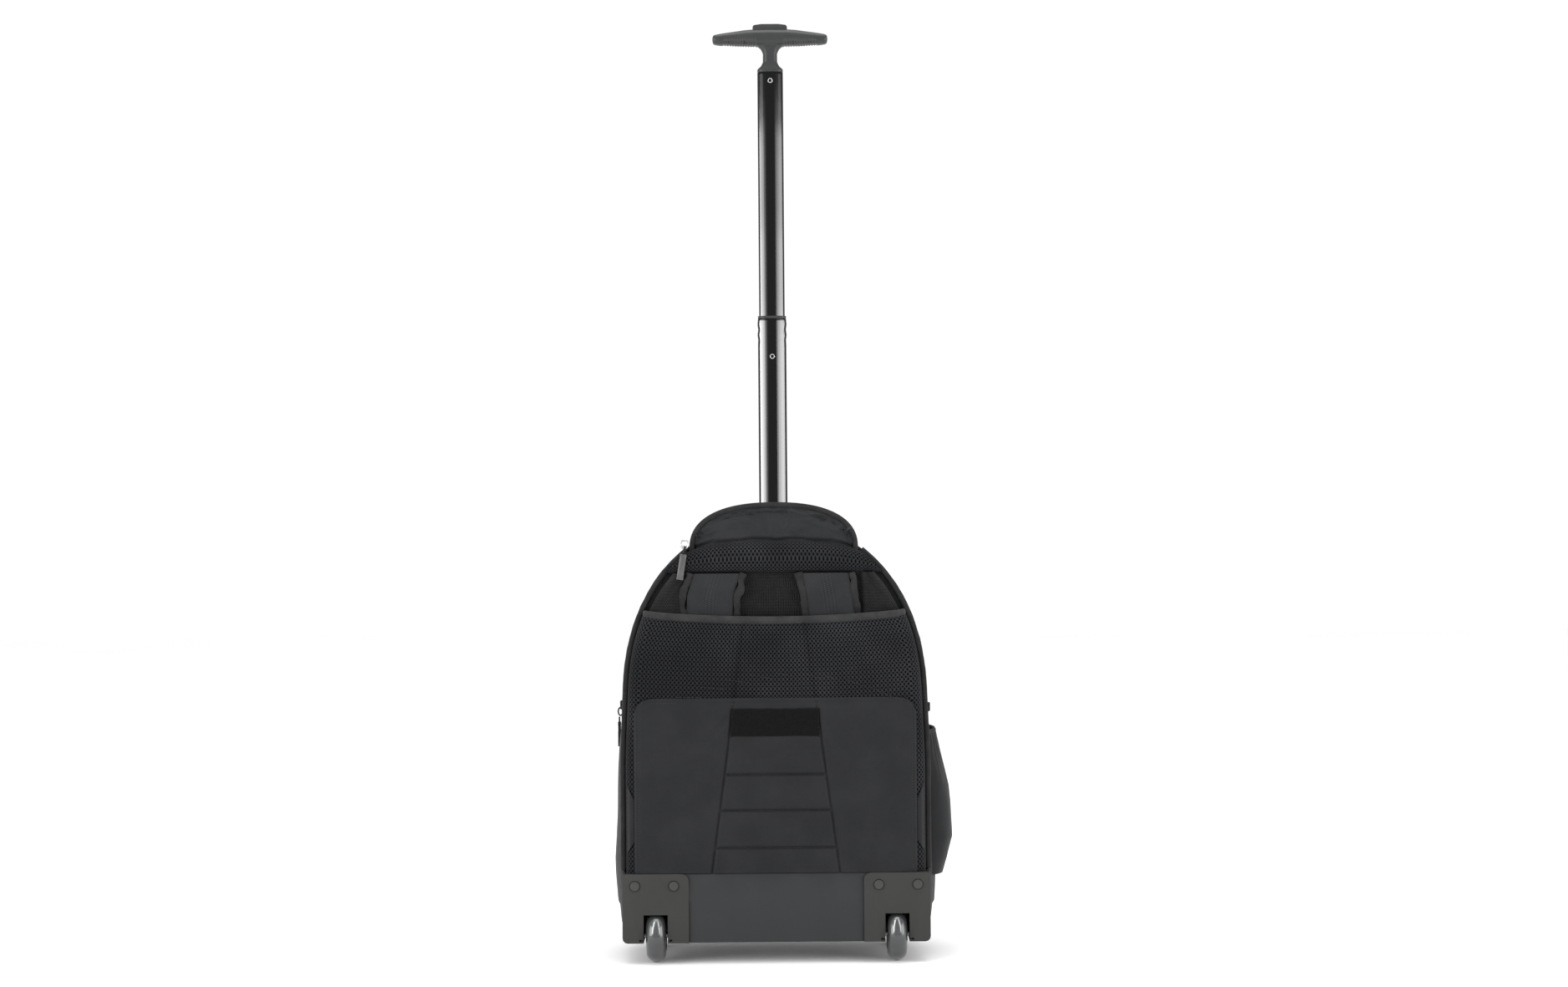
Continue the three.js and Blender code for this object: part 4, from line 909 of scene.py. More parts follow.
@dataclass
class BagBody:
    """The bag's soft shell: gusset, walls, pipings and pockets."""

    gusset_wall: float = 2.2
    gusset_steps: int = 300
    gusset_rows: int = 46
    pocket_depth: float = 58.0
    pocket_top_share: float = 0.52
    bottle_width: float = 90.0
    bottle_base: float = 94.0
    bottle_height: float = 164.0
    bottle_reach: float = 23.6

    def build(self) -> None:
        """Builds and dresses the shell."""
        self.gusset()
        self.walls()
        self.pipings()
        self.front_pocket()
        self.bottle_pocket()

    def gusset_place(self, x: float, z: float, v: float, lift: float = 0.0) -> Vector:
        """Lays a point of the outline on the gusset.

        Args:
            x: place on the outline.
            z: height on the outline.
            v: share of the gusset's depth.
            lift: how far outside the skin, in millimetres.

        Returns:
            The place in the drawing's millimetres.
        """
        y = BAND_FACE + BAND_DEPTH * v
        drop = CROWN_FALL * read(((0, 0), (0.5, 0.1), (0.86, 0.6), (1, 1)), v)
        rise = BODY.top - 3 - BODY.spring
        high = z if z <= BODY.spring else BODY.spring + (z - BODY.spring) * (rise - drop) / rise
        swell = SIDE_SWELL * read(SWELL_BY_DEPTH, v) * read(SWELL_BY_HEIGHT, z)
        wide = x * (1 + (swell + (1 - v) * side_bulge(z) * (z > 60)) / 175)
        if x < 0:
            wide -= 1.6 * dent(v - 0.5, 0.4) * dent(z - 170, 110)
        outward = Vector((x / 172, 0, (z - 270) / 220))
        outward = outward.normalized() if outward.length else Vector((0, 0, 1))
        edge = dent(min(v, 1 - v), 0.07)
        pucker = 0.8 * edge * ripple(x, y, z, 7.0)
        folds = 1.5 * (1 - edge) * ripple(x, y * 0.7, z, 46.0, 3.0)
        return Vector((wide, y, high)) + outward * (lift + pucker + folds - 0.6)

    def gusset(self) -> None:
        """Builds the gusset with its cut-outs for the well and the wheels."""
        outline = BODY.outline(3, self.gusset_steps)
        length = sum(math.dist(a, b) for a, b in zip(outline, outline[1:]))

        def rule(u: float, v: float) -> Vector:
            x, z = outline[round(u * self.gusset_steps) % self.gusset_steps]
            return BENCH.at(*self.gusset_place(x, z, v))

        piece = laid_grid("gusset", self.gusset_steps, self.gusset_rows, rule, (length, BAND_DEPTH), weld=True)
        edit(piece, lambda: bpy.ops.mesh.normals_make_consistent(inside=False))
        if piece.data.polygons[0].normal.z > 0:
            edit(piece, lambda: bpy.ops.mesh.flip_normals())
        for side in (-88.6, 88.6):
            cut_at(piece, BENCH.at(side, 0, 0), Vector((1, 0, 0)))
        for side in (-154.7, -121.3, 121.3, 154.7):
            cut_at(piece, BENCH.at(side, 0, 0), Vector((1, 0, 0)))
        cut_at(piece, BENCH.at(0, 68.6, 0), Vector((0, 1, 0)))
        cut_at(piece, BENCH.at(0, 54.8, 0), Vector((0, 1, 0)))
        drop_faces(piece, lambda c, n: c.z > 440 and abs(c.x) < 88.6 and c.y < 68.6)
        drop_faces(piece, lambda c, n: c.z < 67 and 121.3 < abs(c.x) < 154.7 and c.y < 54.8)
        finish_with(piece, "SOLIDIFY", thickness=self.gusset_wall * MM, offset=-1)
        smooth(piece, 60)
        hand_over(piece, Body.BAG, Look.BAND_CLOTH, "cloth", "side_band")

    def arched_wall(self, name: str, form: Arch, face: float, thickness: float, crown: float) -> Piece:
        """Builds a padded wall inside the pipings.

        Args:
            name: name of the piece.
            form: outline of the bag there.
            face: depth of its nearer face.
            thickness: its thickness.
            crown: how far its further face swells.

        Returns:
            The wall.
        """

        def rule(u: float, v: float) -> Vector:
            inset = 6.4
            low, high = form.base + inset, form.top - inset
            z = blend(low, high, v)
            across = form.reach(z, inset) * (2 * u - 1)
            if z < low + 10:
                across *= 1 - 0.05 * (1 - (z - low) / 10) ** 2
            swell = crown * (1 - abs(2 * u - 1) ** 4) * (1 - abs(2 * v - 1) ** 6)
            fold = 0.8 * ripple(across, 0, z, 60, 5)
            return BENCH.at(across, face + thickness - 0.9 + swell + fold * (swell / max(crown, 0.1)), z)

        piece = laid_grid(name, 80, 100, rule, (2 * form.half, form.top - form.base), weld=True)
        finish_with(piece, "SOLIDIFY", thickness=(thickness - 1) * MM, offset=-1)
        face_outwards(piece)
        smooth(piece, 50)
        return piece

    def walls(self) -> None:
        """Builds the back wall, which the harness covers, and the plain front wall."""
        back = self.arched_wall("back_panel", BODY, BACK_WALL, 6, 0.0)
        drop_faces(back, lambda c, n: c.z > 461.6 and abs(c.x) < 97.4)
        drop_faces(back, lambda c, n: c.z < 67 and 121 < abs(c.x) < 155)
        hand_over(back, Body.BAG, Look.CLOTH, "cloth", "back_wall")
        front = self.arched_wall("front_panel", FRONT, FRONT_WALL, 6, 2.0)
        hand_over(front, Body.BAG, Look.CLOTH, "cloth", "front_wall")

    def pipings(self) -> None:
        """Builds the edge bindings of the back seam and the front seam."""
        for side, label in ((-1, "left"), (1, "right")):
            heights = [104.4 + 3.0 * i for i in range(65)]
            path = [Vector((side * (172 + side_bulge(z)), 22, z)) for z in heights]
            x = 172.0
            while x > 100.5:
                z = BODY.height(x, 3)
                if z > 301:
                    path.append(Vector((side * x, 22, z)))
                x -= 0.08 + 1.9 * (1 - (x - 100) / 72) ** 0.8 if x > 101 else 1.0
            path = thinned(path, 2.4)

            def section(u: float, v: float, side: int = side) -> Pair:
                across, rise = oval(6.4, 5.6, 2.6)(u, v)
                k = v * len(path)
                pucker = 1 + 0.13 * ripple(k * 2.2, 7 * side, u * 3, 5.0)
                return across * pucker, rise * pucker

            piece = swept("edge_binding_" + label, path, section, 14)
            smooth(piece)
            hand_over(piece, Body.BAG, Look.BINDING, "trim", "back_piping_" + label)
        outline = [Vector((x, 143.6, z)) for x, z in FRONT.outline(3, 420)]
        piece = swept("front_edge_piping", outline, oval(5.8, 5.8), 12, closed=True)
        smooth(piece)
        hand_over(piece, Body.BAG, Look.PIPING, "trim", "front_piping")

    def pocket_reach(self, z: float) -> float:
        """Returns the share of its depth that the front pocket has at a height."""
        share = max((z - POCKET.base) / (POCKET.top - POCKET.base), 0.0)
        return blend(1.0, self.pocket_top_share, share**2)

    def front_pocket(self) -> None:
        """Builds the full front pocket and lets the cloth solver soften it."""
        rows = ((0, 0), (0.12, 0.0), (0.4, 0.012), (0.6, 0.05), (0.75, 0.12), (0.87, 0.23), (0.95, 0.36), (1.0, 0.6))
        count = 200

        def rule(u: float, v: float) -> Vector:
            outer = min(v / 0.55, 1.0)
            depth = outer
            inset = read(rows, depth) * self.pocket_depth
            x, z = POCKET.outline(0, count)[round(u * count) % count] if outer < 1 else lip[round(u * count) % count]
            if outer < 1:
                x, z = self.drawn_in(x, z, inset)
            else:
                share = (v - 0.55) / 0.45
                x, z = blend(x, 0.0, share * 0.999), blend(z, 185.0, share * 0.999)
            reach = self.pocket_depth * depth * self.pocket_reach(z)
            sag = 1.6 * ripple(x, depth * 50, z, 55, 9) * ease(depth, 0.3, 1.0)
            return BENCH.at(x, POCKET_FACE + max(reach - 0.8 + sag, 0.05), z)

        lip = [self.drawn_in(x, z, 0.6 * self.pocket_depth) for x, z in POCKET.outline(0, count)]
        piece = laid_grid("front_pocket_shell", count, 60, rule, (900, 250), weld=True)
        edit(piece, lambda: bpy.ops.mesh.normals_make_consistent(inside=False))
        box_map(piece)

        def held(place: Vector) -> float:
            return 1.0 if place.y < POCKET_FACE + 16 else 0.0

        puffed(piece, held, 1.2, 3.0, 10)
        finish_with(piece, "SOLIDIFY", thickness=2 * MM, offset=-1)
        smooth(piece, 70)
        hand_over(piece, Body.BAG, Look.CLOTH, "cloth", "front_pocket")

    def drawn_in(self, x: float, z: float, inset: float) -> Pair:
        """Moves a point of the pocket's outline towards its middle."""
        away = Vector((x, z - 180))
        scale = 1 - inset / max(away.length, 1.0)
        return x * scale, 180 + (z - 180) * scale

    def bottle_pocket(self) -> None:
        """Builds the stretch pocket on the right side, gathered at its mouth."""
        middle = BAND_FACE + 10 + self.bottle_width / 2
        reach_rows = (
            (0, 0.46), (0.07, 0.59), (0.13, 0.72), (0.25, 0.955), (0.49, 0.95), (0.61, 0.9), (0.73, 0.74),
            (0.86, 0.54), (1, 0.4),
        )

        def rule(u: float, v: float) -> Vector:
            z = self.bottle_base + self.bottle_height * v
            angle = math.pi * (u - 0.5)
            across = math.copysign(abs(math.sin(angle)) ** (2 / 2.4), math.sin(angle))
            out = abs(math.cos(angle)) ** (2 / 2.4)
            y = middle + across * self.bottle_width / 2
            skin = side_reach(y, z)
            crest = side_reach(middle, z) + self.bottle_reach * read(reach_rows, v)
            x = max(162.5 + out * (crest - 162.5), skin - 0.6)
            gather = 0.9 * ease(v, 0.6, 1.0) * math.sin(y * 1.05 + 2 * ripple(0, y, z, 20)) * out
            fold = 1.4 * out * ripple(y * 1.4, z * 0.35, 0, 16, 2) * (1 - 0.6 * v)
            return BENCH.at(x + min(gather + fold, 1.0) - 2.4 * out, y, z)

        piece = laid_grid("bottle_pocket_shell", 90, 110, rule, (150, self.bottle_height))
        finish_with(piece, "SOLIDIFY", thickness=1.6 * MM, offset=1)
        if average_normal(piece).x < 0:
            edit(piece, lambda: bpy.ops.mesh.flip_normals())
        smooth(piece, 60)
        hem = [BENCH.back(rule(i / 80, 1.0)) + Vector((0.1, 0, 0.2)) for i in range(3, 78)]
        binding = swept("bottle_pocket_hem", hem, oval(3.4, 7.0, 3.0), 12, up=Vector((0, 0, 1)))
        smooth(binding)
        hand_over(piece, Body.BAG, Look.POCKET_CLOTH, "cloth", "bottle_pocket")
        hand_over(binding, Body.BAG, Look.BINDING, "trim")


def thinned(path: Sequence[Vector], step: float) -> list[Vector]:
    """Keeps the points of a path that lie at least a step apart, and its last point."""
    kept = [path[0]]
    for place in path[1:]:
        if (place - kept[-1]).length >= step:
            kept.append(place)
    if (path[-1] - kept[-1]).length > step * 0.3:
        kept.append(path[-1])
    return kept


def average_normal(piece: Piece) -> Vector:
    """Returns the sum of a piece's face normals, weighed by area."""
    total = Vector()
    for face in piece.data.polygons:
        total += face.normal * face.area
    return total


@dataclass
class Harness:
    """What lies on the back: air mesh, straps, quilted flap and their bindings."""

    flap_half: float = 161.5
    flap_top: float = 303.0
    flap_face: float = -0.5
    flap_thickness: float = 3.7
    cross_seams: tuple[float, ...] = (215.5, 174.6, 131.7)
    sleeve_round: float = 14.7
    mouth_top: float = 406.0
    mouth_sag: float = 10.0
    mouth_tape: float = 8.0

    def build(self) -> None:
        """Builds and dresses the back."""
        self.sleeve()
        self.sleeve_binding()
        self.flap()
        self.loop_patch()
        self.mesh_band()
        self.ribbed_panel()
        for side, label in ((-1, "left"), (1, "right")):
            self.strap(side, label)
            self.anchor_tab(label)

    def mouth(self, x: float) -> float:
        """Returns the height of the sleeve's sagging mouth."""
        return self.mouth_top - self.mouth_sag * (1 - (x / 175) ** 2)

    def sleeve_section(self, share: float, half: float, lift: float = 0.0) -> Pair:
        """Walks across the sleeve from its left edge to its right edge.

        Args:
            share: share of the way.
            half: half its width at this height.
            lift: how far outside its skin.

        Returns:
            The place as X and Y.
        """
        corner = self.sleeve_round
        flat = half - corner
        arc = 1.5 * corner
        run = 2 * (flat + arc) * share - (flat + arc)
        side = -1 if run < 0 else 1
        if abs(run) <= flat:
            return run, SLEEVE_FACE - lift
        angle = (abs(run) - flat) / arc * math.pi / 2
        across = abs(math.sin(angle)) ** (2 / 2.5)
        back = 1 - abs(math.cos(angle)) ** (2 / 2.5)
        depth = SLEEVE_BACK - SLEEVE_FACE
        return side * (flat + (corner + lift) * across), SLEEVE_FACE - lift + (depth + lift) * back

    def sleeve_skin(self, u: float, z: float, lift: float = 0.0) -> Vector:
        """Lays a point on the sleeve, with its pressed seams and the soft swell between them."""
        half = BODY.reach(z, 6.3) + side_bulge(z)
        x, y = self.sleeve_section(u, half, lift)
        seam = dent(abs(x) - seam_spread(z), 3.0) * (1 - ease(z, 386, 392))
        hug = ease(half - abs(x), 4, 26)
        swell = 1.1 * hug * (1 - 0.8 * seam) + 0.7 * hug * ripple(x, 0, z, 42, 4)
        return Vector((x, y - swell + 1.9 * seam, z))

    def sleeve(self) -> None:
        """Builds the air mesh sleeve, which takes the straps."""

        def rule(u: float, v: float) -> Vector:
            half = BODY.reach(400, 6.3)
            guess = self.sleeve_section(u, half)[0]
            top = self.mouth(guess) - self.mouth_tape + 1
            return BENCH.at(*self.sleeve_skin(u, blend(SLEEVE_BASE, top, v)))

        piece = laid_grid("sleeve", 260, 190, rule, (352, 292))
        if average_normal(piece).y > 0:
            edit(piece, lambda: bpy.ops.mesh.flip_normals())
        finish_with(piece, "SOLIDIFY", thickness=4.4 * MM, offset=-1)
        smooth(piece, 60)
        hand_over(piece, Body.BAG, Look.MESH, "air_mesh", "sleeve_panel")

    def sleeve_binding(self) -> None:
        """Builds the tape that binds the sleeve's mouth, with its stitches."""

        def rule(u: float, v: float) -> Vector:
            half = BODY.reach(400, 6.3)
            guess = self.sleeve_section(u, half)[0]
            top = self.mouth(guess)
            wave = 0.35 * ripple(guess, 0, 0, 9, 1)
            profile = (
                (-4.6, top - 7.6), (-4.9, top - 5), (-4.9, top - 2.2), (-3.4, top - 0.3), (-1.7, top),
                (0.2, top - 0.6), (0.75, top - 2.6), (0.85, top - 5.2), (0.7, top - 7.4), (0.2, top - 8.2),
                (-2.4, top - 8.3), (-4.6, top - 7.6),
            )
            place = v * (len(profile) - 1)
            first = min(int(place), len(profile) - 2)
            share = place - first
            lift = blend(profile[first][0], profile[first + 1][0], share)
            z = blend(profile[first][1], profile[first + 1][1], share)
            base = self.sleeve_skin(u, min(z, top - 3), 0)
            x, y = self.sleeve_section(u, half, lift + wave)
            return BENCH.at(x, y + (base.y - self.sleeve_section(u, BODY.reach(min(z, top - 3), 6.3))[1]), z)

        piece = laid_grid("sleeve_mouth_tape", 240, 33, rule, (352, 26), weld=True)
        close_ends(piece)
        smooth(piece, 70)
        hand_over(piece, Body.BAG, Look.MOUTH, "trim", "sleeve_binding")
        path = []
        for i in range(8, 393):
            x, y = self.sleeve_section(i / 400, BODY.reach(400, 6.3), 0.85)
            path.append(Vector((x, y - 1.1 * ease(146 - abs(x), 4, 26), self.mouth(x) - 6.2)))
        row = stitched("sleeve_binding_stitches", path, Vector((0, -1, 0)))
        hand_over(row, Body.BAG, Look.THREAD, "trim")

    def flap_place(self, u: float, v: float) -> tuple[float, float, float]:
        """Lays a grid over the flap so that its lines follow the seams.

        Returns:
            X, Z and how deep the seams press there, from 0 to 1.
        """
        z = blend(SLEEVE_BASE, self.flap_top, v)
        spread = seam_spread(z)
        if u < 0.34:
            x = blend(-self.flap_half, -spread, u / 0.34)
        elif u > 0.66:
            x = blend(spread, self.flap_half, (u - 0.66) / 0.34)
        else:
            x = blend(-spread, spread, (u - 0.34) / 0.32)
        corner = 21.0
        low = self.flap_top - corner
        if z > low:
            limit = self.flap_half - corner + math.sqrt(max(corner**2 - (z - low) ** 2, 0))
            x = max(min(x, limit), -limit)
        press = dent(abs(x) - spread, 1.7)
        if abs(x) < spread:
            for height in self.cross_seams:
                press = max(press, dent(z - height, 1.7))
        return x, z, press

    def flap(self) -> None:
        """Builds the quilted flap and lets the cloth solver puff it between its seams."""

        def edge_gap(x: float, z: float) -> float:
            return min(self.flap_half - abs(x), self.flap_top - z)

        def rule(u: float, v: float) -> Vector:
            x, z, press = self.flap_place(u, v)
            gap = edge_gap(x, z)
            hem = dent(gap - 5.0, 1.4)
            roll = 1 - ease(gap, 0, 2.4)
            puff = 1.0 * ease(gap, 5, 30)
            y = self.flap_face + 1.6 * press + 0.7 * hem + 1.5 * roll - puff * (1 - press)
            y += 0.7 * ripple(x, 0, z, 34, 8) * ease(gap, 4, 20) + self.creases(x, z)
            return BENCH.at(x, min(y, self.flap_face + 2.6), z)

        piece = laid_grid("flap", 250, 160, rule, (323, 200))
        if average_normal(piece).y > 0:
            edit(piece, lambda: bpy.ops.mesh.flip_normals())

        def held(place: Vector) -> float:
            x, z = place.x, place.z
            spread = seam_spread(z)
            gap = min(edge_gap(x, z), z - SLEEVE_BASE)
            on_cross = abs(x) < spread and min(abs(z - h) for h in self.cross_seams) < 1.2
            return 1.0 if gap < 5.6 or abs(abs(x) - spread) < 1.1 or on_cross else 0.0

        puffed(piece, held, 2.4, 3.2, 14)
        finish_with(piece, "SOLIDIFY", thickness=2.2 * MM, offset=-1)
        smooth(piece, 60)
        hand_over(piece, Body.BAG, Look.CLOTH, "cloth", "lumbar_flap")
        self.flap_stitches()

    def creases(self, x: float, z: float) -> float:
        """Returns the long soft creases that run from the loop patch and the sides into the flap."""
        total = 0.0
        for x0, z0, x1, z1, width, depth in (
            (-52, 286, -78, 250, 3.2, 0.9), (-50, 268, -84, 226, 4.5, 0.8), (-60, 292, -96, 268, 4.0, 0.5),
            (52, 286, 74, 246, 3.2, 0.7), (54, 268, 92, 232, 4.2, 0.6), (-70, 190, -104, 150, 7, 0.6),
            (62, 200, 90, 150, 6, 0.55), (-120, 262, -142, 190, 8, 0.6), (118, 250, 138, 176, 8, 0.6),
        ):
            run = math.hypot(x1 - x0, z1 - z0)
            along = ((x - x0) * (x1 - x0) + (z - z0) * (z1 - z0)) / run
            off = ((x - x0) * (z1 - z0) - (z - z0) * (x1 - x0)) / run
            fade = ease(along, -4, 6) * (1 - ease(along, run * 0.45, run * 1.1))
            total += depth * fade * dent(off + 1.4 * math.sin(along / 9), width)
        return total

    def flap_stitches(self) -> None:
        """Lays the stitches along the flap's seams and inside its border."""
        face = self.flap_face + 0.75
        rows = []
        for side in (-1, 1):
            heights = [300 - 1.0 * i for i in range(192)]
            path = [Vector((side * seam_spread(z), face + 0.55, z)) for z in heights]
            rows.append(stitched("seam", path, Vector((0, -1, 0)), 3.0, 2.2))
        for height in self.cross_seams:
            spread = seam_spread(height) - 1.5
            path = [Vector((-spread + 2 * spread * i / 120, face + 0.55, height)) for i in range(121)]
            rows.append(stitched("seam", path, Vector((0, -1, 0)), 3.0, 2.2))
        border = [Vector((-self.flap_half + 5, face, 106 + 1.0 * i)) for i in range(178)]
        for i in range(31):
            angle = math.pi / 2 * i / 30
            border.append(Vector((-self.flap_half + 21 - 16 * math.cos(angle), face, 282 + 16 * math.sin(angle))))
        whole = border + [Vector((-p.x, p.y, p.z)) for p in reversed(border)]
        whole = [a.lerp(b, t / 8) for a, b in zip(whole, whole[1:]) for t in range(8)]
        rows.append(stitched("seam", whole, Vector((0, -1, 0)), 3.4, 2.4))
        row = joined("flap_stitches", rows)
        hand_over(row, Body.BAG, Look.THREAD, "trim")

    def loop_patch(self) -> None:
        """Builds the fuzzy loop patch."""
        low, high = 258.5, 291.0

        def rule(u: float, v: float) -> Vector:
            x = blend(-50.6, 50.6, u)
            z = blend(low, high, v) + 0.5 * ripple(x, 0, v * 3, 11, 6)
            edge = min(50.6 - abs(x), z - low, high - z)
            y = -1.9 + 1.0 * (1 - ease(edge, 0, 1.6))
            fuzz = 0.38 * noise.noise(Vector((x * 1.7, z * 1.7, 0))) + 0.22 * noise.noise(Vector((x * 4, z * 4, 5)))
            return BENCH.at(x, y - 0.3 + fuzz, z)

        piece = laid_grid("loop_patch", 240, 84, rule, (101, 32))
        if average_normal(piece).y > 0:
            edit(piece, lambda: bpy.ops.mesh.flip_normals())
        finish_with(piece, "SOLIDIFY", thickness=0.8 * MM, offset=-1)
        smooth(piece, 80)
        hand_over(piece, Body.BAG, Look.LOOP, "loop_fabric", "hook_strip")

    def mesh_band(self) -> None:
        """Builds the padded air mesh band under the handle cover."""
        half = BODY.reach(446, 4) + 2

        def rule(u: float, v: float) -> Vector:
            x = (2 * u - 1) * half
            top = band_top(x)
            angle = math.pi * min(v / 0.86, 1.0)
            z = 446 + (top - 446) * (0.5 - 0.5 * math.copysign(abs(math.cos(angle)) ** 0.75, math.cos(angle)))
            if v > 0.86:
                z = blend(top, 446, (v - 0.86) / 0.14)
            proud = 10.2 * read(((0, 1), (0.3, 1), (0.6, 0.97), (0.84, 0.75), (1, 0.3)), abs(x) / half)
            y = 18.7 - proud * math.sin(angle) ** 0.62 + 0.6 * ripple(x, 0, z, 24, 7) * math.sin(angle)
            limit = BODY.reach(z, 4.4)
            return BENCH.at(max(min(x, limit), -limit), y, z)

        piece = laid_grid("mesh_band_pad", 240, 50, rule, (260, 53), weld=True)
        close_ends(piece)
        smooth(piece, 70)
        hand_over(piece, Body.BAG, Look.MESH, "air_mesh", "mesh_band")

    def ribbed_panel(self) -> None:
        """Builds the ribbed webbing behind the straps."""

        def rule(u: float, v: float) -> Vector:
            z = blend(380, 445.7, v)
            x = (2 * u - 1) * BODY.reach(z, 11.6)
            rib = 0.42 * math.sin(2 * math.pi * x / 2.1)
            share = min(max((abs(x) - 100) / (BODY.reach(z, 11.6) - 100), 0.0), 1.0)
            full = 9.0 * math.sin(math.pi * share) ** 0.6 * (1 + 0.2 * ripple(x, 0, z, 16, 3))
            return BENCH.at(x, 17.75 + rib - full, z)

        piece = laid_grid("ribbed_panel_webbing", 900, 16, rule, (303, 66))
        if average_normal(piece).y > 0:
            edit(piece, lambda: bpy.ops.mesh.flip_normals())
        finish_with(piece, "SOLIDIFY", thickness=0.7 * MM, offset=-1)
        smooth(piece, 70)
        hand_over(piece, Body.BAG, Look.RIBBED, "ribbed_webbing", "ribbed_panel")

    def strap_middle(self, z: float, side: int) -> Pair:
        """Returns how far a strap's middle stands from the bag's middle, and its bulge, at a height."""
        share = z / 446
        left, right = ((340, 0), (400, 3.0), (420, 5.0), (445, 2.5)), ((340, 0), (400, -5), (445, -4.5))
        lean = read(left if side < 0 else right, z)
        place = read(
            ((0.314, 0.554), (0.45, 0.526), (0.67, 0.469), (0.905, 0.403), (0.935, 0.392), (0.96, 0.38),
             (0.982, 0.368), (0.9986, 0.36)),
            share,
        )
        bulge = read(((0.905, 0), (0.935, 0.75), (0.96, 1), (0.982, 0.55), (0.9986, 0)), share)
        return 175 * place + lean, 3 * bulge

    def strap(self, side: int, label: str) -> None:
        """Builds a padded strap with a binding along each edge."""
        low, high = 140.2, 445.2
        steps = 150

        def rule(u: float, v: float) -> Vector:
            z = blend(low, high, v)
            middle, bulge = self.strap_middle(z, side)
            angle = 2 * math.pi * u
            across = math.copysign(abs(math.cos(angle)) ** 0.5, math.cos(angle)) * 26.6
            along = math.copysign(abs(math.sin(angle)) ** 0.55, math.sin(angle)) * 3.7
            soft = 0.5 * ripple(across, along, z, 26, 11 + side)
            return BENCH.at(side * (middle + across), 13.0 - bulge + along + soft * abs(math.sin(angle)), z)

        piece = laid_grid("strap_" + label + "_pad", 72, steps, rule, (120, high - low), weld=True)
        close_ends(piece)
        smooth(piece, 70)
        hand_over(piece, Body.BAG, Look.DOME_CLOTH, "cloth", "strap_" + label)
        for edge, word in ((-1, "inner"), (1, "outer")):
            path = []
            for i in range(steps + 1):
                z = blend(low, high, i / steps)
                middle, bulge = self.strap_middle(z, side)
                wave = 3.4 * ripple(z, edge * 30, side * 17, 14) * ease(z, 300, 400) * ease(445 - z, 0, 8)
                path.append(Vector((side * (middle + edge * 30.6 + wave), 13.0 - bulge + 0.4 * wave, z)))

            def section(u: float, v: float, edge: int = edge) -> Pair:
                across, rise = oval(8.0, 5.6, 2.5)(u, v)
                pucker = 1 + 0.42 * ripple(v * 305, edge * 9, side * 5 + u, 6.0)
                return across * pucker, rise * pucker

            binding = swept("strap_" + word + "_tape_" + label, path, section, 16)
            smooth(binding)
            hand_over(binding, Body.BAG, Look.BINDING, "trim", "strap_binding_" + word + "_" + label)

    def anchor_tab(self, label: str) -> None:
        """Builds the nylon tab that anchors a strap beside the flap."""
        piece = refined("anchor_tab_" + label, "anchor_tab_" + label + "_cloth", 0.4)
        hand_over(piece, Body.BAG, Look.CLOTH, "cloth", "anchor_tab_" + label)


@dataclass
class HandleCover:
    """The domed flap in front of the pole, its piping and the well behind it."""

    face: float = 19.0
    border: float = 1.6

    def build(self) -> None:
        """Builds and dresses the cover and the well."""
        self.dome()
        self.piping()
        well = refined("handle_well", "handle_well_lining", 0.8)
        hand_over(well, Body.BAG, Look.CLOTH, "cloth", "handle_well")

    def dome(self) -> None:
        """Builds the crowned dome with its turned edge."""
        inset = 5.2

        def rule(u: float, v: float) -> Vector:
            top = DOME.height((2 * u - 1) * (DOME.half - inset) * 0.9995, inset)
            x = (2 * u - 1) * (DOME.half - inset)
            z = blend(DOME.base, max(top, DOME.base + 0.5), v)
            gap = min(DOME.half - inset - abs(x), (top - z) * 0.9)
            groove = dent(gap - self.border, 1.0)
            crown = 1.9 * ease(gap, self.border, 26)
            crease = 4.0 * dent(z - band_top(x) - 1.5, 1.7)
            turned = 0.9 * (1 - ease(gap, 0, 2))
            y = self.face + 1.3 * groove + turned + crease - crown + 0.5 * ripple(x, 0, z, 28, 2)
            return BENCH.at(x, y, z)

        piece = laid_grid("handle_cover_pad", 200, 100, rule, (185, 62))
        if average_normal(piece).y > 0:
            edit(piece, lambda: bpy.ops.mesh.flip_normals())

        def held(place: Vector) -> float:
            top = DOME.height(place.x, inset)
            gap = min(DOME.half - inset - abs(place.x), (top - place.z) * 0.9, place.z - DOME.base)
            return 1.0 if gap < self.border + 0.6 else 0.0

        puffed(piece, held, 1.4, 2.0, 12)
        finish_with(piece, "SOLIDIFY", thickness=4.6 * MM, offset=-1)
        smooth(piece, 60)
        hand_over(piece, Body.BAG, Look.DOME_CLOTH, "cloth", "handle_cover")

    def piping(self) -> None:
        """Builds the piping round the dome."""
        path = [Vector((94.1, 21.6, 462 + 1.5 * i)) for i in range(8)]
        for i in range(0, 181):
            angle = math.pi * i / 180
            across = math.copysign(abs(math.cos(angle)) ** (2 / DOME.power), math.cos(angle))
            rise = abs(math.sin(angle)) ** (2 / DOME.power)
            path.append(Vector((94.1 * across, 21.6, 474 + 49.7 * rise)))
        path += [Vector((-94.1, 21.6, 472.5 - 1.5 * i)) for i in range(8)]
        path = thinned(path, 1.8)
        piece = swept("handle_cover_edge", path, oval(5.8, 5.4, 2.6), 16)
        smooth(piece)
        hand_over(piece, Body.BAG, Look.BINDING, "trim", "handle_cover_piping")


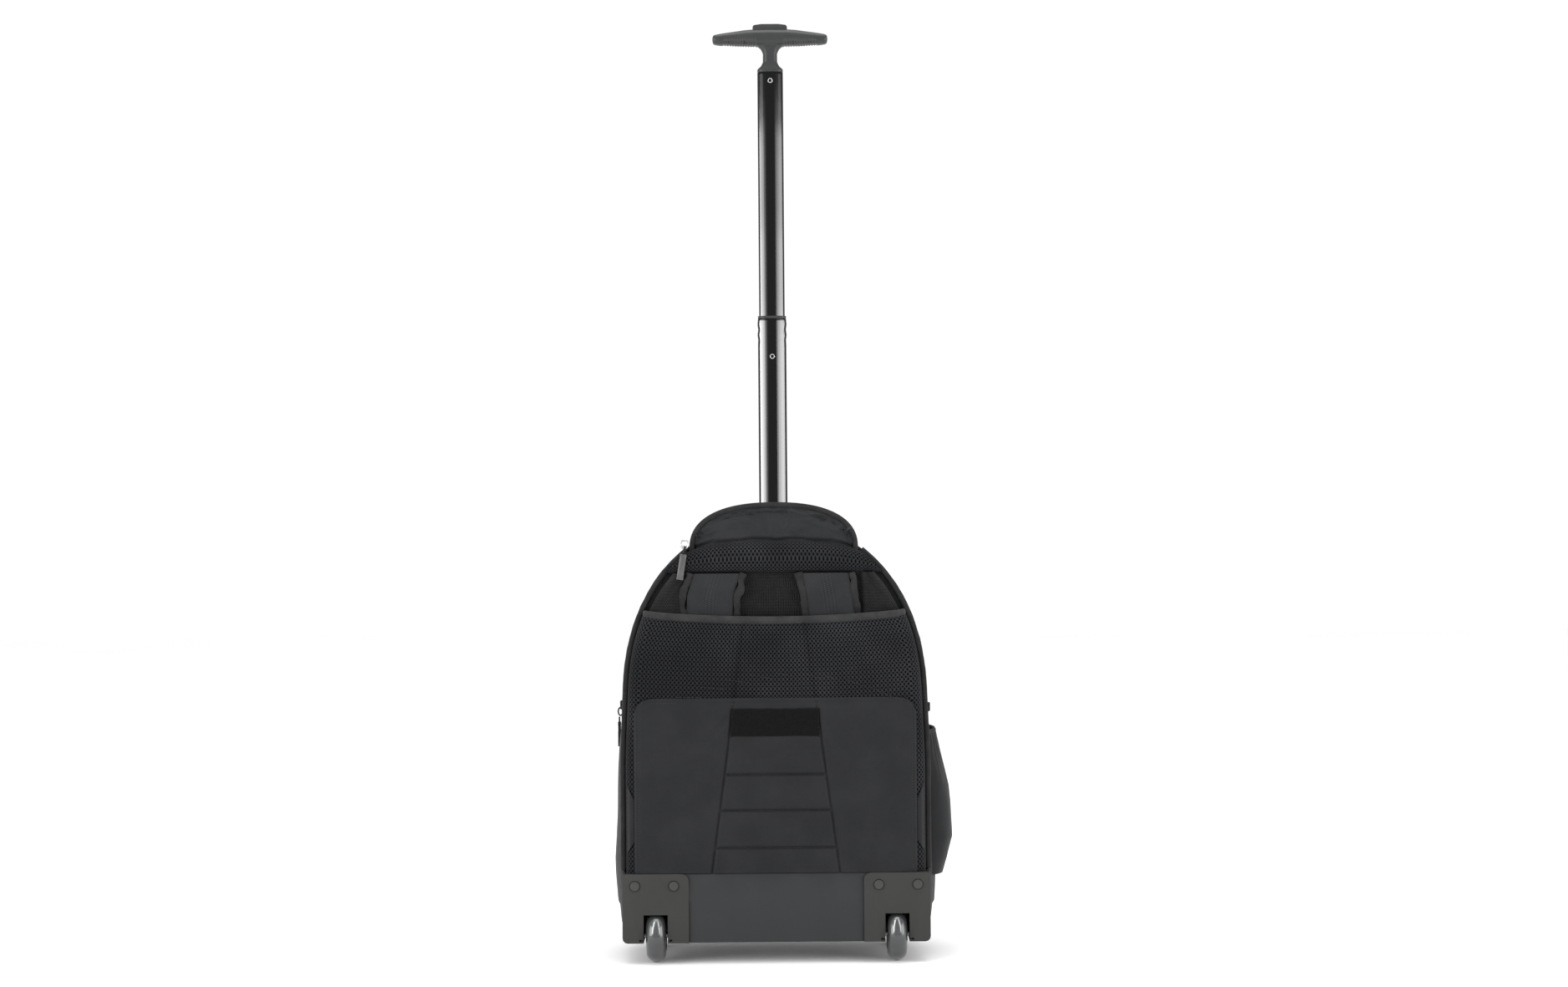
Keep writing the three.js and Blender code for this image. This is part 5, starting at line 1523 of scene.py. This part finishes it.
@dataclass
class Base:
    """Guard, wheel housings, rivets, feet and wheels."""

    wheel_radius: float = 30.0
    wheel_width: float = 22.7
    wheel_place: float = 138.0
    wheel_setback: float = 18.0
    hub_radius: float = 17.6
    rivet_radius: float = 5.3

    def build(self) -> None:
        """Builds and dresses the base."""
        guard = refined("guard", "guard_shell", 1.4)
        hand_over(guard, Body.BAG, Look.GUARD, "guard_plastic", "guard")
        for side, label in ((-1, "left"), (1, "right")):
            housing = refined("housing_" + label, "housing_shell_" + label, 0.5)
            hand_over(housing, Body.BAG, Look.HOUSING, "housing_plastic", "housing_" + label)
            foot = refined("foot_" + label, "foot_block_" + label, 0.8)
            hand_over(foot, Body.BAG, Look.HOUSING, "housing_plastic", "foot_" + label)
            dress(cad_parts["axle_" + label], Look.STEEL)
            for place, word in ((161.6, "outer"), (117.0, "inner")):
                self.rivet(side * place, word + "_" + label)
            self.wheel(side, label)

    def rivet(self, x: float, label: str) -> None:
        """Builds a rivet's domed head and a black ring round its foot, painted shade of the gap between head and
        housing.
        """
        clear_selection()
        bpy.ops.mesh.primitive_cylinder_add(
            vertices=40,
            radius=self.rivet_radius * MM,
            depth=1.1 * MM,
            location=BENCH.at(x, -3.75, 89.5),
            rotation=(math.pi / 2, 0, 0),
        )
        piece = christen("rivet_head_" + label)
        if select_faces(piece, lambda c, n: n.y < -0.9):
            edit(piece, lambda: self.crown_rivet(x), everything=False)
        smooth(piece, 50)
        hand_over(piece, Body.BAG, Look.RIVET, "housing_plastic", "guard_rivet_" + label)
        # Painted shade: a black ring that stands for the shadow in the gap round the rivet's head.
        shade_ring = hoop("rivet_seat_" + label, (x, -3.35, 89.5), 5.7, 5.7, 0.38, Vector((0, 1, 0)))
        smooth(shade_ring)
        hand_over(shade_ring, Body.BAG, Look.BLACK, "housing_plastic")

    def crown_rivet(self, x: float) -> None:
        """Draws the selected face of a rivet in and out, into a shallow dome with a ring."""
        for inset, lift in ((0.5, 0.0), (0.35, 0.22), (1.1, 0.18), (1.3, 0.1)):
            bpy.ops.mesh.inset(thickness=inset * MM, depth=0)
            bpy.ops.transform.translate(value=(0, -lift * MM, 0))

    def spun(self, name: str, profile: Sequence[Pair], x: float, steps: int = 72) -> Piece:
        """Spins a profile round the axle.

        Args:
            name: name of the piece.
            profile: closed list of places along the axle and radii, in millimetres.
            x: place of the wheel's middle.
            steps: how many steps the turn has.

        Returns:
            The turned piece.
        """
        clear_selection()
        bpy.ops.mesh.primitive_circle_add(vertices=len(profile), radius=MM, fill_type="NOTHING")
        piece = christen(name)
        for vertex, (along, radius) in zip(piece.data.vertices, profile):
            vertex.co = BENCH.at(x + along, self.wheel_setback, self.wheel_radius + radius)
        centre = BENCH.at(x, self.wheel_setback, self.wheel_radius)
        edit(piece, lambda: bpy.ops.mesh.spin(steps=steps, angle=2 * math.pi, center=centre, axis=(1, 0, 0)))
        face_outwards(piece)
        smooth(piece, 40)
        return piece

    def wheel(self, side: int, label: str) -> None:
        """Builds an inline wheel: a glossy tyre round a recessed hub."""
        x = side * self.wheel_place
        body = Body.WHEEL_LEFT if side < 0 else Body.WHEEL_RIGHT
        half = self.wheel_width / 2
        tread = []
        for i in range(33):
            angle = math.pi * i / 32
            tread.append((half * math.cos(angle), blend(20.2, self.wheel_radius, math.sin(angle))))
        profile = [(half, 17.9), *tread, (-half, 17.9)]
        tyre = self.spun("tyre_" + label + "_tread", profile, x)
        hand_over(tyre, body, Look.WHEEL, "wheel_rubber", "tyre_" + label)
        hub = self.spun(
            "hub_" + label + "_disc",
            [
                (11.0, 3.3), (11.0, 6.4), (9.6, 6.9), (7.6, 7.6), (7.2, 14.2), (9.4, 15.0), (11.0, 15.4), (11.0, 17.6),
                (-11.0, 17.6), (-11.0, 15.4), (-9.4, 15.0), (-7.2, 14.2), (-7.6, 7.6), (-9.6, 6.9), (-11.0, 6.4),
                (-11.0, 3.3),
            ],
            x,
            60,
        )
        hand_over(hub, body, Look.HUB, "grip_plastic", "hub_" + label)


@dataclass
class Trolley:
    """The telescopic handle: tubes, collar, rivets, grip and button."""

    upper_width: float = 29.8
    upper_depth: float = 17.4
    lower_width: float = 33.0
    lower_depth: float = 21.0
    power: float = 2.2

    def build(self) -> None:
        """Builds and dresses the handle."""
        self.tube("upper_tube", self.upper_width, self.upper_depth, 681.6, 1024.3, Body.UPPER, False)
        self.tube("lower_tube", self.lower_width, self.lower_depth, 379.7, 738.7, Body.LOWER, True)
        dress(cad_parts["fixed_tube"], Look.STEEL)
        ring = refined("lower_tube_ring", "tube_ring_cap", 0.5, 50)
        hand_over(ring, Body.LOWER, Look.GRIP, "grip_plastic", "lower_tube_ring")
        collar = refined("tube_collar", "tube_collar_cap", 1.2, 50)
        hand_over(collar, Body.BAG, Look.GRIP, "grip_plastic", "tube_collar")
        self.rivet("upper_rivet", 36.3, 1014.0, Body.UPPER)
        self.rivet("lower_rivet", 34.5, 695.0, Body.LOWER)
        self.grip()
        button = refined("button", "button_cap", 1.6, 40)
        hand_over(button, Body.BUTTON, Look.GRIP, "grip_plastic", "button")

    def tube(
        self, name: str, width: float, depth: float, low: float, high: float, body: Body, crimped: bool
    ) -> None:
        """Builds a painted tube with a thin wall and, where it is crimped, two small dents on its edges."""
        steps = round((high - low) / 3)

        def rule(u: float, v: float) -> Vector:
            z = blend(low, high, v)
            across, along = oval(width, depth, self.power)(u, v)
            if crimped:
                for place in (732.5, 720.0):
                    nip = dent(z - place, 2.6) * ease(abs(across), width * 0.36, width * 0.5)
                    across += math.copysign(0.45 * nip, across)
                    neck = dent(z - (place - 6.2), 2.0) * ease(abs(across), width * 0.36, width * 0.5)
                    across -= math.copysign(0.35 * neck, across)
            return BENCH.at(across, POLE_DEPTH + along, z)

        piece = laid_grid(name + "_shell", 96, steps, rule, (90, high - low), weld=True)
        edit(piece, lambda: bpy.ops.mesh.normals_make_consistent(inside=False))
        first = piece.data.polygons[0]
        centre = BENCH.at(0, POLE_DEPTH, 0)
        if (first.center - centre).to_2d().dot(first.normal.to_2d()) < 0:
            edit(piece, lambda: bpy.ops.mesh.flip_normals())
        finish_with(piece, "SOLIDIFY", thickness=1.2 * MM, offset=-1)
        finish_with(piece, "BEVEL", width=0.35 * MM, segments=2, limit_method="ANGLE", angle_limit=math.radians(60))
        smooth(piece, 40)
        hand_over(piece, body, Look.PAINT, "painted_tube", name)

    def rivet(self, name: str, face: float, z: float, body: Body) -> None:
        """Builds a small chrome rivet with a drilled middle."""
        clear_selection()
        bpy.ops.mesh.primitive_cylinder_add(
            vertices=32,
            radius=2.8 * MM,
            depth=1.3 * MM,
            location=BENCH.at(0, face + 0.3, z),
            rotation=(math.pi / 2, 0, 0),
        )
        piece = christen(name + "_head")
        if select_faces(piece, lambda c, n: n.y < -0.9):
            edit(piece, self.drill_rivet, everything=False)
        finish_with(piece, "BEVEL", width=0.2 * MM, segments=2, limit_method="ANGLE", angle_limit=math.radians(50))
        smooth(piece, 50)
        hand_over(piece, body, Look.CHROME, "chrome", name)

    def drill_rivet(self) -> None:
        """Draws the selected face in and sinks its middle."""
        bpy.ops.mesh.inset(thickness=0.9 * MM, depth=0)
        bpy.ops.mesh.extrude_region_move(TRANSFORM_OT_translate={"value": (0, 0.7 * MM, 0)})

    def grip(self) -> None:
        """Builds the T-shaped grip, with finger ridges under its bar and a flared neck."""
        bottom, height, depth, length = 1054.3, 20.3, 24.0, 133.5
        rows = (
            (0, 1, 0, 1), (0.28, 0.985, 0, 1), (0.45, 0.94, 0.01, 0.965), (0.6, 0.87, 0.03, 0.92),
            (0.75, 0.805, 0.06, 0.855), (0.88, 0.74, 0.09, 0.78), (0.95, 0.695, 0.125, 0.69), (0.985, 0.65, 0.17, 0.58),
            (1, 0.5, 0.34, 0.24),
        )

        def bar(u: float, v: float) -> Vector:
            share = 2 * v - 1
            reach = abs(share) ** 0.85
            top = bottom + height * read([(row[0], row[1]) for row in rows], reach)
            low = bottom + height * read([(row[0], row[2]) for row in rows], reach)
            wide = depth * read([(row[0], row[3]) for row in rows], reach)
            across, rise = oval(wide, top - low, 2.5)(u, v)
            x = math.copysign(reach * length / 2, share)
            ridge = 0.0
            if 15.9 < abs(x) < 55.5 and rise < 0.12 * (top - low):
                wave = 0.5 - 0.5 * math.cos(2 * math.pi * (abs(x) - 15.9) / 3.0)
                ridge = 1.5 * wave**1.6 * ease(-rise, -0.12 * (top - low), 0.35 * (top - low))
            scale = 1 - ridge / max(math.hypot(across, rise), 1.0)
            return BENCH.at(x, POLE_DEPTH + across * scale, (top + low) / 2 + rise * scale)

        piece = laid_grid("grip_bar", 64, 330, bar, (70, length), weld=True)
        close_ends(piece)

        def neck(u: float, v: float) -> Vector:
            z = blend(1005, bottom + 7, v)
            wide = read(
                ((1005, 26.8), (1024.5, 26.8), (1024.6, 29.8), (1027.8, 29.8), (1031.5, 21.5), (1036, 16.9), (1046, 16.6),
                 (1051, 21), (1055, 30), (1062, 44)),
                z,
            )
            deep = read(
                ((1005, 14.4), (1024.5, 14.4), (1024.6, 17.4), (1027.8, 17.4), (1031.5, 15.6), (1036, 14.5), (1046, 14.5),
                 (1051, 16), (1062, 18)),
                z,
            )
            across, along = oval(wide, deep, 2.6)(u, v)
            return BENCH.at(across, POLE_DEPTH + along, z)

        stem = laid_grid("grip_stem", 64, 112, neck, (70, 60), weld=True)
        close_ends(stem)
        whole = joined("grip_handle", [piece, stem])
        finish_with(whole, "REMESH", mode="VOXEL", voxel_size=0.62 * MM, adaptivity=0.0)
        finish_with(whole, "SMOOTH", factor=0.5, iterations=3)
        clear_selection()
        place, size = BENCH.at(0, POLE_DEPTH, 1075), Vector((40.6, 14.6, 18)) * MM
        bpy.ops.mesh.primitive_cube_add(size=1, location=place, scale=size)
        slot = christen("grip_slot")
        finish_with(whole, "BOOLEAN", object=slot, operation="DIFFERENCE", solver="EXACT")
        bpy.data.objects.remove(slot)
        box_map(whole)
        smooth(whole, 50)
        hand_over(whole, Body.UPPER, Look.GRIP, "grip_plastic", "grip")


@dataclass
class Zips:
    """Zip tapes with their teeth, sliders and pulls."""

    tape_half: float = 13.0
    tooth_pitch: float = 2.0
    middle: float = 82.8

    def build(self, body: BagBody) -> None:
        """Builds and dresses the zips.

        Args:
            body: the shell that the tapes lie on.
        """
        self.main_zip(body)
        self.pocket_zip(body)
        self.side_slider(-1, 285.0, True)
        self.side_slider(1, 280.0, False)
        self.top_slider()

    def main_line(self, body: BagBody) -> list[Pair]:
        """Returns the places of the main zip's line on the outline."""
        outline = BODY.outline(3, 900)
        right = [(x, z) for x, z in outline if z > 280 and x >= 0]
        left = [(x, z) for x, z in outline if z > 285 and x < 0]
        return right + left

    def main_zip(self, body: BagBody) -> None:
        """Builds the tape over the crown and its two rows of teeth."""
        line = self.main_line(body)
        count = len(line) - 1
        centre = (self.middle - BAND_FACE) / BAND_DEPTH

        def rule(u: float, v: float) -> Vector:
            x, z = line[round(v * count)]
            off = (2 * u - 1) * self.tape_half
            share = centre + off / BAND_DEPTH
            lip = 0.9 * dent(abs(off) - 3.6, 1.6)
            return BENCH.at(*body.gusset_place(x, z, share, 1.5 + lip - 0.9 * dent(off, 1.2)))

        tape = laid_grid("main_zip_tape", 26, count, rule, (2 * self.tape_half, 900))
        if average_normal(tape).z < 0:
            edit(tape, lambda: bpy.ops.mesh.flip_normals())
        finish_with(tape, "SOLIDIFY", thickness=1.0 * MM, offset=-1)
        smooth(tape, 60)
        hand_over(tape, Body.BAG, Look.ZIP, "trim", "main_zip")
        places = [body.gusset_place(x, z, centre, 1.35) for x, z in line]
        teeth = coil("main_zip_teeth", places, Vector((0, 1, 0)), self.tooth_pitch)
        hand_over(teeth, Body.BAG, Look.BLACK, "trim")

    def pocket_zip(self, body: BagBody) -> None:
        """Builds the zip that runs round the front pocket's arch."""
        outline = [(x, z) for x, z in POCKET.outline(0, 700)]
        right = [(x, z) for x, z in outline if z > 126 and x >= 0]
        left = [(x, z) for x, z in outline if z > 126 and x < 0]
        line = right + left
        count = len(line) - 1

        def lay(x: float, z: float, off: float, lift: float) -> Vector:
            away = Vector((x, 0, z - 180)).normalized()
            depth = body.pocket_depth * body.pocket_reach(z) * 0.23
            return Vector((x, POCKET_FACE + depth + off, z)) + away * lift

        def rule(u: float, v: float) -> Vector:
            x, z = line[round(v * count)]
            off = (2 * u - 1) * 5.8
            return BENCH.at(*lay(x, z, off, 1.5 + 0.7 * dent(abs(off) - 2.8, 1.2)))

        tape = laid_grid("front_pocket_zip_tape", 18, count, rule, (12, 700))
        if average_normal(tape).z < 0:
            edit(tape, lambda: bpy.ops.mesh.flip_normals())
        finish_with(tape, "SOLIDIFY", thickness=1.0 * MM, offset=-1)
        smooth(tape, 60)
        hand_over(tape, Body.BAG, Look.ZIP, "trim", "front_pocket_zip")
        places = [lay(x, z, 0, 1.5) for x, z in line]
        teeth = coil("front_pocket_zip_teeth", places, Vector((0, 1, 0)), self.tooth_pitch)
        hand_over(teeth, Body.BAG, Look.BLACK, "trim")

    def side_slider(self, side: int, low: float, pulled: bool) -> None:
        """Builds a slider at the end of the main zip, with its wire ring and, where it shows, its pull."""
        label = "left" if side < 0 else "right"
        face = side_reach(self.middle, low) + 2.0
        body = slab("slider", (side * (face + 1.4), self.middle, low + 5), (3.0, 8.6, 10.5), 1.0)
        parts = [body]
        if pulled:
            parts.append(hoop("ring", (side * (face + 2.6), self.middle, low - 2.9), 2.6, 4.6, 0.9, Vector((0, 1, 0))))
        slider = joined("main_zip_slider_" + label + "_body", parts)
        smooth(slider, 50)
        hand_over(slider, Body.BAG, Look.DARK_METAL, "steel", "main_zip_slider_" + label)
        if not pulled:
            return
        top = low - 8.7
        foot = side_reach(self.middle, top - 35) + 0.5
        lean = foot + 1.8
        neck = slab("neck", (side * lean, self.middle, top - 3.4), (1.8, 3.6, 6.6), 0.6)
        upper = slab("upper", (side * lean, self.middle, top - 8.4), (3.4, 7.4, 5.0), 0.9)
        lower = slab("lower", (side * lean, self.middle, top - 26.0), (3.4, 7.4, 18.0), 0.9)
        rails = [slab("rail", (side * lean, self.middle + off, top - 13.8), (3.0, 2.2, 9.0), 0.6) for off in (-2.6, 2.6)]
        pull = joined("main_zip_pull_" + label + "_tab", [neck, upper, lower, *rails])
        smooth(pull, 50)
        hand_over(pull, Body.BAG, Look.BLACK, "pull_plastic", "main_zip_pull_" + label)

    def top_slider(self) -> None:
        """Builds the chrome slider beside the dome, its ring, cord loop and tapered tab."""
        x = -102.6
        z = BODY.height(x)
        saddle = slab("saddle", (x, 21.0, z + 2.0), (10.0, 8.0, 3.2), 1.2)
        ring = hoop("ring", (x, 17.2, z + 4.6), 4.6, 4.8, 1.0, Vector((0, 1, 0)))
        slider = joined("top_zip_slider_body", [saddle, ring])
        smooth(slider, 50)
        hand_over(slider, Body.BAG, Look.CHROME, "chrome", "top_zip_slider")
        lean = math.radians(8.8)
        down = Vector((-math.sin(lean), 0, -math.cos(lean)))
        start = Vector((x, 8.0, z - 1.0))
        cord = [
            Vector((x + 1.0, 16.5, z + 1.2)), Vector((x + 0.6, 12, z + 1.6)), Vector((x + 0.2, 8.6, z - 0.6)),
            start + down * 5,
        ]
        cord = [a.lerp(b, t / 6) for a, b in zip(cord, cord[1:]) for t in range(6)] + [cord[-1]]
        loop = swept("top_zip_cord", cord, oval(2.6, 2.6), 12, up=Vector((1, 0, 0)))
        smooth(loop)
        hand_over(loop, Body.BAG, Look.BLACK, "pull_plastic")
        tab = slab("tab", tuple(start + down * 20.0), (7.4, 1.9, 29.0), 0.7)
        plate = slab("plate", tuple(start + down * 19.0 + Vector((0, -0.9, 0))), (5.0, 0.9, 22.0), 0.4)
        lip = slab("lip", tuple(start + down * 34.0 + Vector((0, -0.4, 0))), (7.9, 2.7, 2.4), 0.6)
        for part in (tab, plate, lip):
            centre = BENCH.back(sum((Vector(c) for c in part.bound_box), Vector()) / 8)
            edit(
                part,
                lambda centre=centre: bpy.ops.transform.rotate(
                    value=-lean, orient_axis="Y", center_override=BENCH.at(*centre), orient_type="GLOBAL"
                ),
            )
        pull = joined("top_zip_pull_tab", [tab, plate, lip])
        smooth(pull, 50)
        hand_over(pull, Body.BAG, Look.NICKEL, "steel", "top_zip_pull")


def slab(name: str, centre: Sequence[float], size: Sequence[float], bevel: float) -> Piece:
    """Adds a small block at a place of the drawing and rounds its edges."""
    clear_selection()
    bpy.ops.mesh.primitive_cube_add(size=1, location=BENCH.at(*centre), scale=[part * MM for part in size])
    piece = christen(name)
    edit(piece, lambda: bpy.ops.mesh.subdivide(number_cuts=2))
    finish_with(piece, "BEVEL", width=bevel * MM, segments=3, limit_method="ANGLE", angle_limit=math.radians(40))
    box_map(piece)
    return piece


def hoop(name: str, centre: Sequence[float], wide: float, high: float, wire: float, axis: Vector) -> Piece:
    """Adds a wire ring at a place of the drawing.

    Args:
        name: name of the piece.
        centre: its middle.
        wide: half its width.
        high: half its height.
        wire: half the wire's thickness.
        axis: direction that the ring turns round.

    Returns:
        The ring.
    """
    path = []
    for i in range(36):
        angle = 2 * math.pi * i / 36
        path.append(Vector(centre) + Vector((wide * math.cos(angle), 0, high * math.sin(angle))))
    ring = swept(name, path, oval(2 * wire, 2 * wire), 10, up=axis, closed=True)
    return ring


def coil(name: str, path: Sequence[Vector], across: Vector, pitch: float) -> Piece:
    """Lays the two meshed rows of a zip's teeth along a path.

    Args:
        name: name of the piece.
        path: places in the drawing's millimetres, close together.
        across: direction across the tape.
        pitch: from one tooth to the next of its row.

    Returns:
        The teeth as one piece.
    """
    clear_selection()
    bpy.ops.mesh.primitive_cylinder_add(vertices=6, radius=1, depth=2)
    piece = christen(name)
    edit(piece, lambda: bpy.ops.mesh.bevel(offset=0.3, segments=1))
    shape = piece.data.copy()
    mesh = bmesh.new()
    run = 0.0
    due = 0.0
    side = 1
    for a, b in zip(path, path[1:]):
        step = (b - a).length
        while run + step >= due:
            ahead = (b - a).normalized()
            out = ahead.cross(across).normalized()
            here = a.lerp(b, (due - run) / max(step, 1e-6)) + across * (0.9 * side)
            turn = Matrix((ahead, out, across)).transposed().to_4x4()
            size = Matrix.Diagonal((0.36 * pitch * MM, 0.75 * MM, 1.6 * MM, 1))
            first = len(mesh.verts)
            mesh.from_mesh(shape)
            mesh.verts.ensure_lookup_table()
            place = Matrix.Translation(BENCH.at(*here)) @ turn @ size
            for vertex in mesh.verts[first:]:
                vertex.co = place @ vertex.co
            due += pitch / 2
            side = -side
        run += step
    mesh.to_mesh(piece.data)
    mesh.free()
    face_outwards(piece)
    smooth(piece, 50)
    return piece


@dataclass
class Studio:
    """Pale floor, soft lights and the camera."""

    distance: float = 3000.0
    height: float = 536.4
    sideways: float = 0.0
    yaw: float = 0.0
    roll: float = -0.44
    lens: float = 59.93
    frame_middle: float = 12.2

    def build(self) -> None:
        """Sets the stage."""
        self.floor()
        self.lights()
        self.camera()

    def floor(self) -> None:
        """Lays a flat pale floor."""
        clear_selection()
        bpy.ops.mesh.primitive_plane_add(size=14, location=(0, 0, -0.0004))
        piece = christen("floor")
        board = Board("pale_floor")
        tone = board.mix(board.spread(board.clouds(1.5), 0.3, 0.7, 0, 1), grey(0.965), grey(0.98))
        board.set(Base_Color=tone, Roughness=0.7)
        piece.data.materials.append(board.material)

    def lamp(
        self, name: str, place: Sequence[float], size: Pair, watts: float, target: Sequence[float]
    ) -> bpy.types.Object:
        """Adds a soft rectangular lamp that looks at a place, both in metres, and returns it."""
        data = bpy.data.lights.new(name, "AREA")
        data.shape = "RECTANGLE"
        data.size, data.size_y = size
        data.energy = watts
        lamp = bpy.data.objects.new(name, data)
        bpy.context.scene.collection.objects.link(lamp)
        lamp.location = place
        lamp.rotation_euler = (Vector(target) - Vector(place)).to_track_quat("-Z", "Y").to_euler()
        lamp.visible_camera = False
        return lamp

    def lights(self) -> None:
        """Sets side lamps, a top lamp, the strips and a white surround."""
        world = bpy.data.worlds.new("studio")
        bpy.context.scene.world = world
        world.use_nodes = True
        sky = world.node_tree.nodes["Background"]
        sky.inputs[0].default_value = (1, 1, 1, 1)
        sky.inputs[1].default_value = 1.02
        self.lamp("left_lamp", (-1.9, -1.3, 0.9), (1.2, 1.5), 30, (0, 0, 0.5))
        self.lamp("right_lamp", (1.9, -1.1, 0.8), (1.2, 1.5), 24, (0, 0, 0.5))
        self.lamp("top_lamp", (0, -0.3, 2.6), (1.6, 1.2), 25, (0, 0, 0.3))
        self.tube_strips()
        self.wheel_strips()

    def receivers(self, name: str, pieces: Sequence[str]) -> bpy.types.Collection:
        """Gathers the pieces that a strip lights."""
        group = bpy.data.collections.new(name)
        for piece in pieces:
            group.objects.link(bpy.data.objects[piece])
        return group

    def tube_strips(self) -> None:
        """Hangs the tall strips that the painted tubes mirror, brighter outwards and lower down."""
        tubes = self.receivers("painted_tubes", ("upper_tube_shell", "lower_tube_shell"))
        foot, watts, away, apart = 0.2, 225.0, 1.8, 0.01
        tops = ((1.27, 0.06), (1.21, 0.44), (1.02, 0.22), (0.86, 0.28))
        places = ((22, 0.25), (31, 0.31), (43, 0.44), (60, 0.63), (80, 0.63))
        for side, shares in ((-1, (0.03, 0.25, 0.62, 0.85, 1.15)), (1, (0.24, 0.52, 0.64, 0.68, 0.56))):
            for (turn, width), share in zip(places, shares):
                angle = math.radians(turn)
                for row, (top, part) in enumerate(tops):
                    high, middle = top - foot, (top + foot) / 2
                    reach = away + apart * row
                    place = (side * reach * math.sin(angle), -reach * math.cos(angle), middle)
                    power = watts * share * part * width * high
                    name = f"tube_strip_{'left' if side < 0 else 'right'}_{turn}_{round(top * 100)}"
                    strip = self.lamp(name, place, (width, high), power, (0, 0, middle))
                    strip.light_linking.receiver_collection = tubes

    def wheel_strips(self) -> None:
        """Hangs the two strips that show as highlights on the glossy wheels."""
        tyres = self.receivers("glossy_tyres", ("tyre_left_tread", "tyre_right_tread"))
        for name, side, watts in (("wheel_strip_left", -1, 42), ("wheel_strip_right", 1, 26)):
            strip = self.lamp(name, (side * 1.0, -1.35, 1.35), (0.35, 2.2), watts, (0, 0, 0.05))
            strip.light_linking.receiver_collection = tyres

    def camera(self) -> None:
        """Sets the camera at the photograph's view."""
        data = bpy.data.cameras.new("camera")
        data.lens = self.lens
        data.sensor_width = 36
        data.clip_end = 50
        camera = bpy.data.objects.new("camera", data)
        bpy.context.scene.collection.objects.link(camera)
        place = BENCH.at(self.sideways, BACK_WALL - self.distance, self.height)
        target = BENCH.at(self.frame_middle, 0, self.height)
        look = (target - place).to_track_quat("-Z", "Y").to_matrix().to_4x4()
        camera.matrix_world = Matrix.Translation(place) @ look @ Matrix.Rotation(math.radians(self.roll), 4, "Z")
        bpy.context.scene.camera = camera
        scene = bpy.context.scene
        scene.view_settings.view_transform = "Standard"
        scene.view_settings.look = "None"


def main() -> None:
    """Builds every sub-assembly in order."""
    logging.basicConfig(level=logging.INFO, format="%(name)s %(message)s")
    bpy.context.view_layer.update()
    body = BagBody()
    body.build()
    HandleCover().build()
    Harness().build()
    Base().build()
    Trolley().build()
    Zips().build(body)
    Studio().build()


if __name__ == "__main__":
    main()
